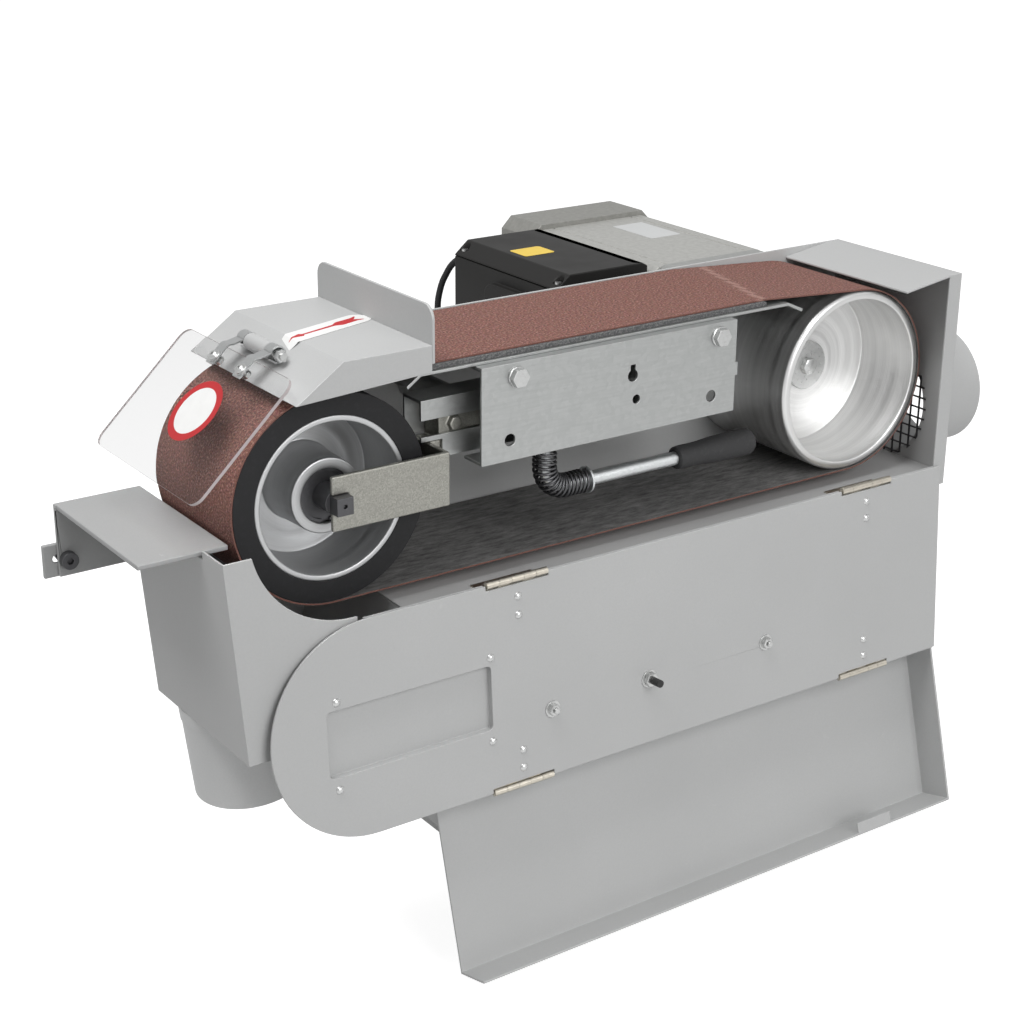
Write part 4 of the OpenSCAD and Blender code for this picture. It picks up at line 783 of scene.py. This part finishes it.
def hexHead(at, axis, across, low, high, chamfer=0.9, topShare=0.95):
    # a hexagon's six sides up to a chamfer that a cone cuts, then the flat top
    flat = across / 2
    corner = flat / math.cos(math.pi / 6)
    top = flat * topShare
    section = [(corner, low), (corner, high - chamfer), (top, high), (0, high), (0, low), (corner, low)]
    return latheMesh("hex", section, at, axis, 6)


boltSetup = {"centre": (645, 75, 0), "washer": 27, "washerThick": 4, "bevel": 0.8, "raised": 0.2, "sides": 64,
             "across": 17, "head": 6.4}


def makeDriveBolt(setup):
    # a broad washer on the cup's floor with a hexagon head on it
    out, thick, r, bevel = (0, -1, 0), setup["washerThick"], setup["washer"], setup["bevel"]
    section = [(0, thick), (r - bevel, thick), (r, thick - bevel), (r, setup["raised"]), (0, setup["raised"])]
    disc = latheMesh("disc", section, setup["centre"], out, setup["sides"])
    head = hexHead(setup["centre"], out, setup["across"], thick, thick + setup["head"])
    standIn("drive_bolt", "driveBoltHead", joinMeshes("driveBoltHead", [disc, head]))


# Grip: a rubber sleeve, narrow at its neck, wider towards its rounded end
gripSetup = {"start": (404, 5, -42), "sides": 48,
             "section": [(0, 0), (10, 0), (11.6, 1.2), (12.3, 6), (12.2, 24), (12.6, 34), (13.8, 48),
                         (14.4, 62), (14.5, 90), (13.9, 96.5), (12.0, 99.8), (9.5, 101), (0, 101)]}


def makeGrip(setup):
    mesh = latheMesh("gripSleeve", setup["section"], setup["start"], (1, 0, 0), setup["sides"])
    standIn("lever_grip", "gripSleeve", mesh)


makeWheels(wheelSetup)
makeGrip(gripSetup)
print("wheels turned")


# The open door: closed-door places turned about the hinge, as in the source; s is the height above the hinge.
# Fasteners' profiles are (radius, height above the door's face).
doorSetup = {"hingeY": -38.15, "hingeZ": -105.8, "open": 175.9, "faceY": -36.3,
             "rivets": [(-27, 73), (143, 73), (142, 159.6), (-29, 159.8)], "leafX": (177.2, 637.6),
             "leafS": (18, 37, 178.3, 197.3), "boltX": (213.5, 492.5), "lockX": 335, "lockS": 145,
             "dome": [(0, 2.5), (1.2, 2.4), (2.3, 2.0), (3.3, 1.3), (4.1, 0.4), (4.3, 0.0), (4.3, -0.4),
                      (0, -0.4)],
             "washer": [(0, 1.6), (8.2, 1.6), (8.7, 1.1), (8.7, -0.2), (0, -0.2)],
             "nutAcross": 11.0, "nutHeights": (1.6, 6.4),
             "boltEnd": [(0, 9.2), (2.4, 9.2), (3.0, 8.6), (3.0, 5), (0, 5)],
             "lockWasher": [(4, 1.6), (9.0, 1.6), (9.5, 1.1), (9.5, -0.2), (4, -0.2), (4, 1.6)],
             "lockNut": [(7.8, 1.6), (7.8, 6.0), (6.9, 6.9), (4, 6.9), (4, 1.6), (7.8, 1.6)]}


def onOpenDoor(points):
    a = math.radians(doorSetup["open"])
    p = np.asarray(points, float).reshape(-1, 3)
    y, z = p[:, 1] - doorSetup["hingeY"], p[:, 2] - doorSetup["hingeZ"]
    return np.stack([p[:, 0], doorSetup["hingeY"] + y * math.cos(a) - z * math.sin(a),
                     doorSetup["hingeZ"] + y * math.sin(a) + z * math.cos(a)], 1)


def doorPlace(x, s, out=0.0):
    return onOpenDoor([x, doorSetup["faceY"] + out, doorSetup["hingeZ"] + s])[0]


doorOut = doorPlace(0, 0, 1) - doorPlace(0, 0, 0)  # the open door's outward direction at its inner face


def makeDoorFasteners(setup):
    # rivet domes on the hatch and the hinge leaves, two studs with nuts, and the lock's nut
    spots = list(setup["rivets"]) + [(x, s) for x in setup["leafX"] for s in setup["leafS"]]
    domes = [latheMesh("rivetDome", setup["dome"], doorPlace(x, s), doorOut, 24) for x, s in spots]
    addPiece("doorRivetDomes", joinMeshes("doorRivetDomes", domes), fastener, "door")
    bolts = []
    for x in setup["boltX"]:
        at = doorPlace(x, setup["lockS"])
        bolts.append(latheMesh("washer", setup["washer"], at, doorOut))
        bolts.append(hexHead(at, doorOut, setup["nutAcross"], *setup["nutHeights"]))
        bolts.append(latheMesh("boltEnd", setup["boltEnd"], at, doorOut, 20))
    at = doorPlace(setup["lockX"], setup["lockS"])
    bolts.append(latheMesh("washer", setup["lockWasher"], at, doorOut))
    bolts.append(latheMesh("nut", setup["lockNut"], at, doorOut, 6))
    addPiece("doorBoltHeads", joinMeshes("doorBoltHeads", bolts), fastener, "door")


makeDoorFasteners(doorSetup)
makeDriveBolt(boltSetup)


# Guard's straps and screws, on the screen's sloping frame: u runs down it, w out of it
guardSetup = {"top": (-49.5, 126), "slope": 43.7, "thick": 3, "length": 137, "width": 206, "y0": -31,
              "corner": 12, "strapY": (46.2, 97.8), "strapWidth": 13, "strap": 1.5, "strapEnd": 21,
              "screwU": 13, "eye": (-28, 130), "eyeRadius": 7.45, "eyeWrap": (62, 345), "eyePoints": 36,
              "dropFrom": 4, "drop": [(0, 0), (2.2, 0.5), (3.8, 1.8), (5.4, 3.6)], "discU": 64.9,
              "discY": 66.7, "discRadius": 32, "discWhite": 0.77, "discThick": 0.15,
              "discLift": (0.2, 0.3), "discPoints": 64,
              "washer": [(0, 1.0), (6.2, 1.0), (6.5, 0.7), (6.5, -0.2), (0, -0.2)],
              "panHead": [(1.6, 3.0), (1.8, 3.9), (2.6, 4.0), (3.9, 3.4), (4.8, 2.2), (5.0, 1.0), (5.0, 0.7),
                          (0, 0.7), (0, 3.0), (1.6, 3.0)]}


def onGuard(u, y, w):
    a = math.radians(guardSetup["slope"])
    x = guardSetup["top"][0] - u * math.cos(a) - w * math.sin(a)
    z = guardSetup["top"][1] - u * math.sin(a) + w * math.cos(a)
    return np.stack(np.broadcast_arrays(x, y, z), -1).astype(float)


guardOut = onGuard(0, 0, 1) - onGuard(0, 0, 0)  # the screen's outward direction


def makeStraps(setup):
    # a ribbon lies on the screen, drops over its edge and wraps the hinge pin's eye for most of a turn
    a = math.radians(setup["slope"])
    dx, dz = setup["eye"][0] - setup["top"][0], setup["eye"][1] - setup["top"][1]
    eyeU, eyeW = -dx * math.cos(a) - dz * math.sin(a), -dx * math.sin(a) + dz * math.cos(a)
    turn = np.radians(np.linspace(*setup["eyeWrap"], setup["eyePoints"]))
    ring = np.stack([eyeU + setup["eyeRadius"] * np.cos(turn), eyeW + setup["eyeRadius"] * np.sin(turn)], 1)
    lie = setup["thick"] + setup["strap"] / 2
    drop = [(-u, lie - w) for u, w in setup["drop"]]
    line = np.vstack([[(setup["strapEnd"], lie), (setup["dropFrom"], lie)], drop, ring])
    ahead = unit(np.gradient(line, axis=0))
    off = np.stack([-ahead[:, 1], ahead[:, 0]], 1) * setup["strap"] / 2
    outer, inner, half = line + off, line - off, setup["strapWidth"] / 2
    faces = gridFaces(len(line), 4, closeColumns=True).tolist()
    last = 4 * (len(line) - 1)
    ends = [[3, 2, 1, 0], [last + k for k in range(4)]]
    straps = []
    for y in setup["strapY"]:
        corners = [onGuard(edge[:, 0], y + v, edge[:, 1]) for edge, v in
                   ((outer, -half), (outer, half), (inner, half), (inner, -half))]
        mesh = bpy.data.meshes.new("strap")
        mesh.from_pydata(place(np.stack(corners, 1).reshape(-1, 3)).tolist(), [], faces + ends)
        straps.append(mesh)
    standIn("guard_straps", "guardRibbons", joinMeshes("guardRibbons", straps))


def makeScreen(setup):
    # a clear plate with rounded corners; its narrow edge faces are a second, duller material whose pinkish
    # grey is painted reflection
    outline = roundedBox(setup["length"], setup["width"], setup["corner"])
    u, y = outline[:, 0] + setup["length"] / 2, outline[:, 1] + setup["y0"] + setup["width"] / 2
    top, low = onGuard(u, y, setup["thick"]), onGuard(u, y, 0)
    screen = addPatch("clearScreen", top, top[0] - low[0], guardClear, "guard")
    screen.data.materials.append(guardEdgePaintedReflection)
    for face in screen.data.polygons:
        face.material_index = int(len(face.vertices) == 4)
    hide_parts("guard_screen")


def makeGuardScrews(setup):
    # a washer and a pan head with its socket on each strap
    heads = []
    for y in setup["strapY"]:
        at = onGuard(setup["screwU"], y, setup["thick"] + setup["strap"])
        heads.append(latheMesh("washer", setup["washer"], at, guardOut, 32))
        heads.append(latheMesh("panHead", setup["panHead"], at, guardOut, 28))
    addPiece("guardScrewHeads", joinMeshes("guardScrewHeads", heads), fastener, "guard")


makeStraps(guardSetup)
makeGuardScrews(guardSetup)
print("fasteners made")


# Thin flat plates: the clear screen and the plain stickers on hood, guard, switch box and motor
def addPatch(name, outline, lift, material, body):
    # the outline's points are the upper face; the same points lowered by lift close it underneath
    top = np.asarray(outline, float)
    count = len(top)
    points = np.vstack([top, top - np.asarray(lift, float)])
    upper = list(range(count))
    under = [i + count for i in reversed(upper)]
    sides = [(i + count, (i + 1) % count + count, (i + 1) % count, i) for i in upper]
    mesh = bpy.data.meshes.new(name)
    mesh.from_pydata(place(points).tolist(), [], [upper, under] + sides)
    facingOut(mesh)
    return addPiece(name, mesh, material, body, smooth=False)


def roundedBox(width, height, radius, count=8):
    # corners as quarter circles, centred on the origin
    out = []
    for k, (sx, sy) in enumerate([(1, 1), (-1, 1), (-1, -1), (1, -1)]):
        a = np.linspace(k * math.pi / 2, (k + 1) * math.pi / 2, count)
        out.append(np.stack([sx * (width / 2 - radius) + radius * np.cos(a),
                             sy * (height / 2 - radius) + radius * np.sin(a)], 1))
    return np.vstack(out)


# The arrow's head is (distance from its tip, half width), its back (distance from its end, half width)
stickerSetup = {"thick": 0.25, "sheet": 0.2, "hoodZ": 137, "hoodCentre": (36.5, 70), "hoodSize": (112, 27),
                "hoodTurn": 16.3, "fold": (-10.8, -46, 2.8, 155), "foldSlope": 43.7, "pillRows": 140,
                "acrossRows": 9, "arrowInset": 10, "arrowLift": 0.15, "arrowRows": 60, "tailRows": 8,
                "arrowHead": [(0, 0.1), (17, 4.2), (17.5, 1.3)], "tailNotch": 5.2, "tailHalf": 6.6,
                "arrowBack": [(34, 1.8), (26, 5.6), (7, 5.0)],
                "boxZ": 92, "boxCentre": (478, 363), "boxSize": (42, 34), "boxCorner": 4,
                "motorZ": 86, "motorCentre": (673, 396), "motorSize": (45, 77), "motorCorner": 1.5,
                "white": (0.80, 0.80, 0.79), "red": (0.46, 0.010, 0.014), "yellow": (0.80, 0.55, 0.03),
                "silver": (0.55, 0.56, 0.56)}


def turned(points, degrees):
    # flat points turned about the origin
    a = math.radians(degrees)
    return points @ np.array([[math.cos(a), math.sin(a)], [-math.sin(a), math.cos(a)]])


def hoodPatch(name, setup, along, halfWidth, middle, lift, material):
    # rows across a band on the hood's top; a row past the fold goes down with the sloping sheet
    x0, y0, x1, y1 = setup["fold"]
    t = np.linspace(-1, 1, setup["acrossRows"])[None, :]
    across = np.asarray(middle)[:, None] + t * np.asarray(halfWidth)[:, None]
    spot = turned(np.stack([along[:, None] + 0 * across, across], -1).reshape(-1, 2), setup["hoodTurn"])
    x, y = (spot + setup["hoodCentre"]).T
    past = np.maximum(0, x0 + (y - y0) * (x1 - x0) / (y1 - y0) - x)
    z = setup["hoodZ"] + lift - past * math.tan(math.radians(setup["foldSlope"]))
    faces = gridFaces(len(along), setup["acrossRows"])[:, ::-1]
    mesh = meshFrom(name, place(np.stack([x, y, z], 1)), faces)
    piece = addPiece(name, mesh, material, "machine", smooth=False)
    solid = piece.modifiers.new("thickness", "SOLIDIFY")
    solid.thickness = setup["sheet"] / 1000
    solid.offset = -1


def flatPatch(name, setup, part, material):
    # a level sticker with rounded corners
    thick, centre = setup["thick"], np.array(setup[part + "Centre"], float)
    outline = roundedBox(*setup[part + "Size"], setup[part + "Corner"]) + centre
    top = np.column_stack([outline, np.full(len(outline), setup[part + "Z"] + thick)])
    addPatch(name, top, (0, 0, thick * 0.9), material, "machine")


def makeHoodStickers(setup, white, red):
    # a pill with round ends, and a thin arrow on it whose tail is notched
    thick, (length, width) = setup["thick"], setup["hoodSize"]
    along = np.linspace(-length / 2 + 0.05, length / 2 - 0.05, setup["pillRows"])
    bend = width / 2
    roundEnds = np.sqrt(np.maximum(0.01, bend**2 - np.maximum(0, np.abs(along) - length / 2 + bend)**2))
    hoodPatch("hoodPill", setup, along, roundEnds, 0 * along, thick, white)
    tip, lift = length / 2 - setup["arrowInset"], thick + setup["arrowLift"]
    corners = [(-tip + x, half) for x, half in setup["arrowHead"]]
    corners += [(tip - x, half) for x, half in setup["arrowBack"]]
    tailStart, endHalf = corners[-1]
    shaft = np.linspace(-tip, tailStart, setup["arrowRows"])
    hoodPatch("hoodArrow", setup, shaft, np.interp(shaft, *zip(*corners)), 0 * shaft, lift, red)
    tail = np.linspace(tailStart, tip, setup["tailRows"])
    inner = np.linspace(0, setup["tailNotch"], setup["tailRows"])
    outer = np.linspace(endHalf, setup["tailHalf"], setup["tailRows"])
    for side in (-1, 1):
        hoodPatch("hoodArrowTail", setup, tail, (outer - inner) / 2, side * (outer + inner) / 2, lift, red)


def makeGuardDisc(setup, white, red):
    # a red disc and a smaller white one on it, leaving a red rim
    angle = np.linspace(0, tau, setup["discPoints"], endpoint=False)
    discs = (("guardDisc", 1.0, red), ("guardDiscCentre", setup["discWhite"], white))
    for (name, share, finish), lift in zip(discs, setup["discLift"]):
        radius = setup["discRadius"] * share
        ring = onGuard(setup["discU"] + radius * np.sin(angle), setup["discY"] + radius * np.cos(angle),
                       setup["thick"] + lift)
        addPatch(name, ring, guardOut * setup["discThick"], finish, "guard")


def makeStickers(setup):
    white = patchMaterial("stickerWhite", setup["white"], 0.35)
    red = patchMaterial("stickerRed", setup["red"], 0.5)
    yellow = patchMaterial("stickerYellow", setup["yellow"], 0.35)
    silver = patchMaterial("stickerSilver", setup["silver"], 0.3)
    makeHoodStickers(setup, white, red)
    flatPatch("boxPatch", setup, "box", yellow)
    flatPatch("motorPatch", setup, "motor", silver)
    makeGuardDisc(guardSetup, white, red)


makeStickers(stickerSetup)
makeScreen(guardSetup)
print("stickers and screen made")


# Floor and light: a lamp's row is its name, place, aim, size in metres and power in watts
stageSetup = {"floorSize": 60, "floorColour": (0.5, 0.5, 0.5), "floorRoughness": 0.9,
              "glow": (0, 0.86, 0.45, 0.66), "world": (0.31, 1.0, 0.68, 0.97),
              "lamps": [("key", (0.0, -2.8, 1.8), (-0.1, 0, 0.5), 1.9, 54),
                        ("top", (-1.2, -0.1, 3.0), (-0.1, 0, 0.5), 1.6, 62),
                        ("right", (2.6, -0.9, 1.2), (0, 0, 0.5), 1.3, 4)]}


def byRay(tree, levels):
    # four levels: light that falls on things, what the camera sees, what faces mirror, what clear ones show
    plain, shown, mirror, through = levels
    rays = tree.nodes.new("ShaderNodeLightPath").outputs
    behind = rays["Is Transmission Ray"]
    mirrored = arithmetic(tree, "MULTIPLY", rays["Is Glossy Ray"], arithmetic(tree, "SUBTRACT", 1.0, behind))
    inMirrors = spread(tree, mirrored, 0, mirror - plain)
    throughClear = spread(tree, behind, 0, through - plain)
    extra = arithmetic(tree, "ADD", inMirrors, throughClear)
    return arithmetic(tree, "ADD", spread(tree, rays["Is Camera Ray"], plain, shown), extra)


def makeStage(setup):
    half = setup["floorSize"] / 2
    corners = [(-half, -half, 0), (half, -half, 0), (half, half, 0), (-half, half, 0)]
    floor = newObject("floor", meshFrom("floor", corners, [[0, 1, 2, 3]]))
    material, tree, shader = newMaterial("floorPale", setup["floorColour"], setup["floorRoughness"])
    shader.inputs["Emission Color"].default_value = (1, 1, 1, 1)
    tree.links.new(byRay(tree, setup["glow"]), shader.inputs["Emission Strength"])
    floor.data.materials.append(material)
    world = bpy.data.worlds.new("studio")
    bpy.context.scene.world = world
    world.use_nodes = True
    sky = world.node_tree
    sky.nodes["Background"].inputs["Color"].default_value = (1, 1, 1, 1)
    sky.links.new(byRay(sky, setup["world"]), sky.nodes["Background"].inputs["Strength"])
    for name, at, aim, size, power in setup["lamps"]:
        data = bpy.data.lights.new(name, "AREA")
        data.shape = "SQUARE"
        data.size = size
        data.energy = power
        lamp = newObject(name, data)
        lamp.location = at
        lamp.rotation_mode = "QUATERNION"
        lamp.rotation_quaternion = (Vector(aim) - Vector(at)).to_track_quat("-Z", "Y")


makeStage(stageSetup)
bpy.context.scene.view_settings.view_transform = "Standard"
print("stage set")
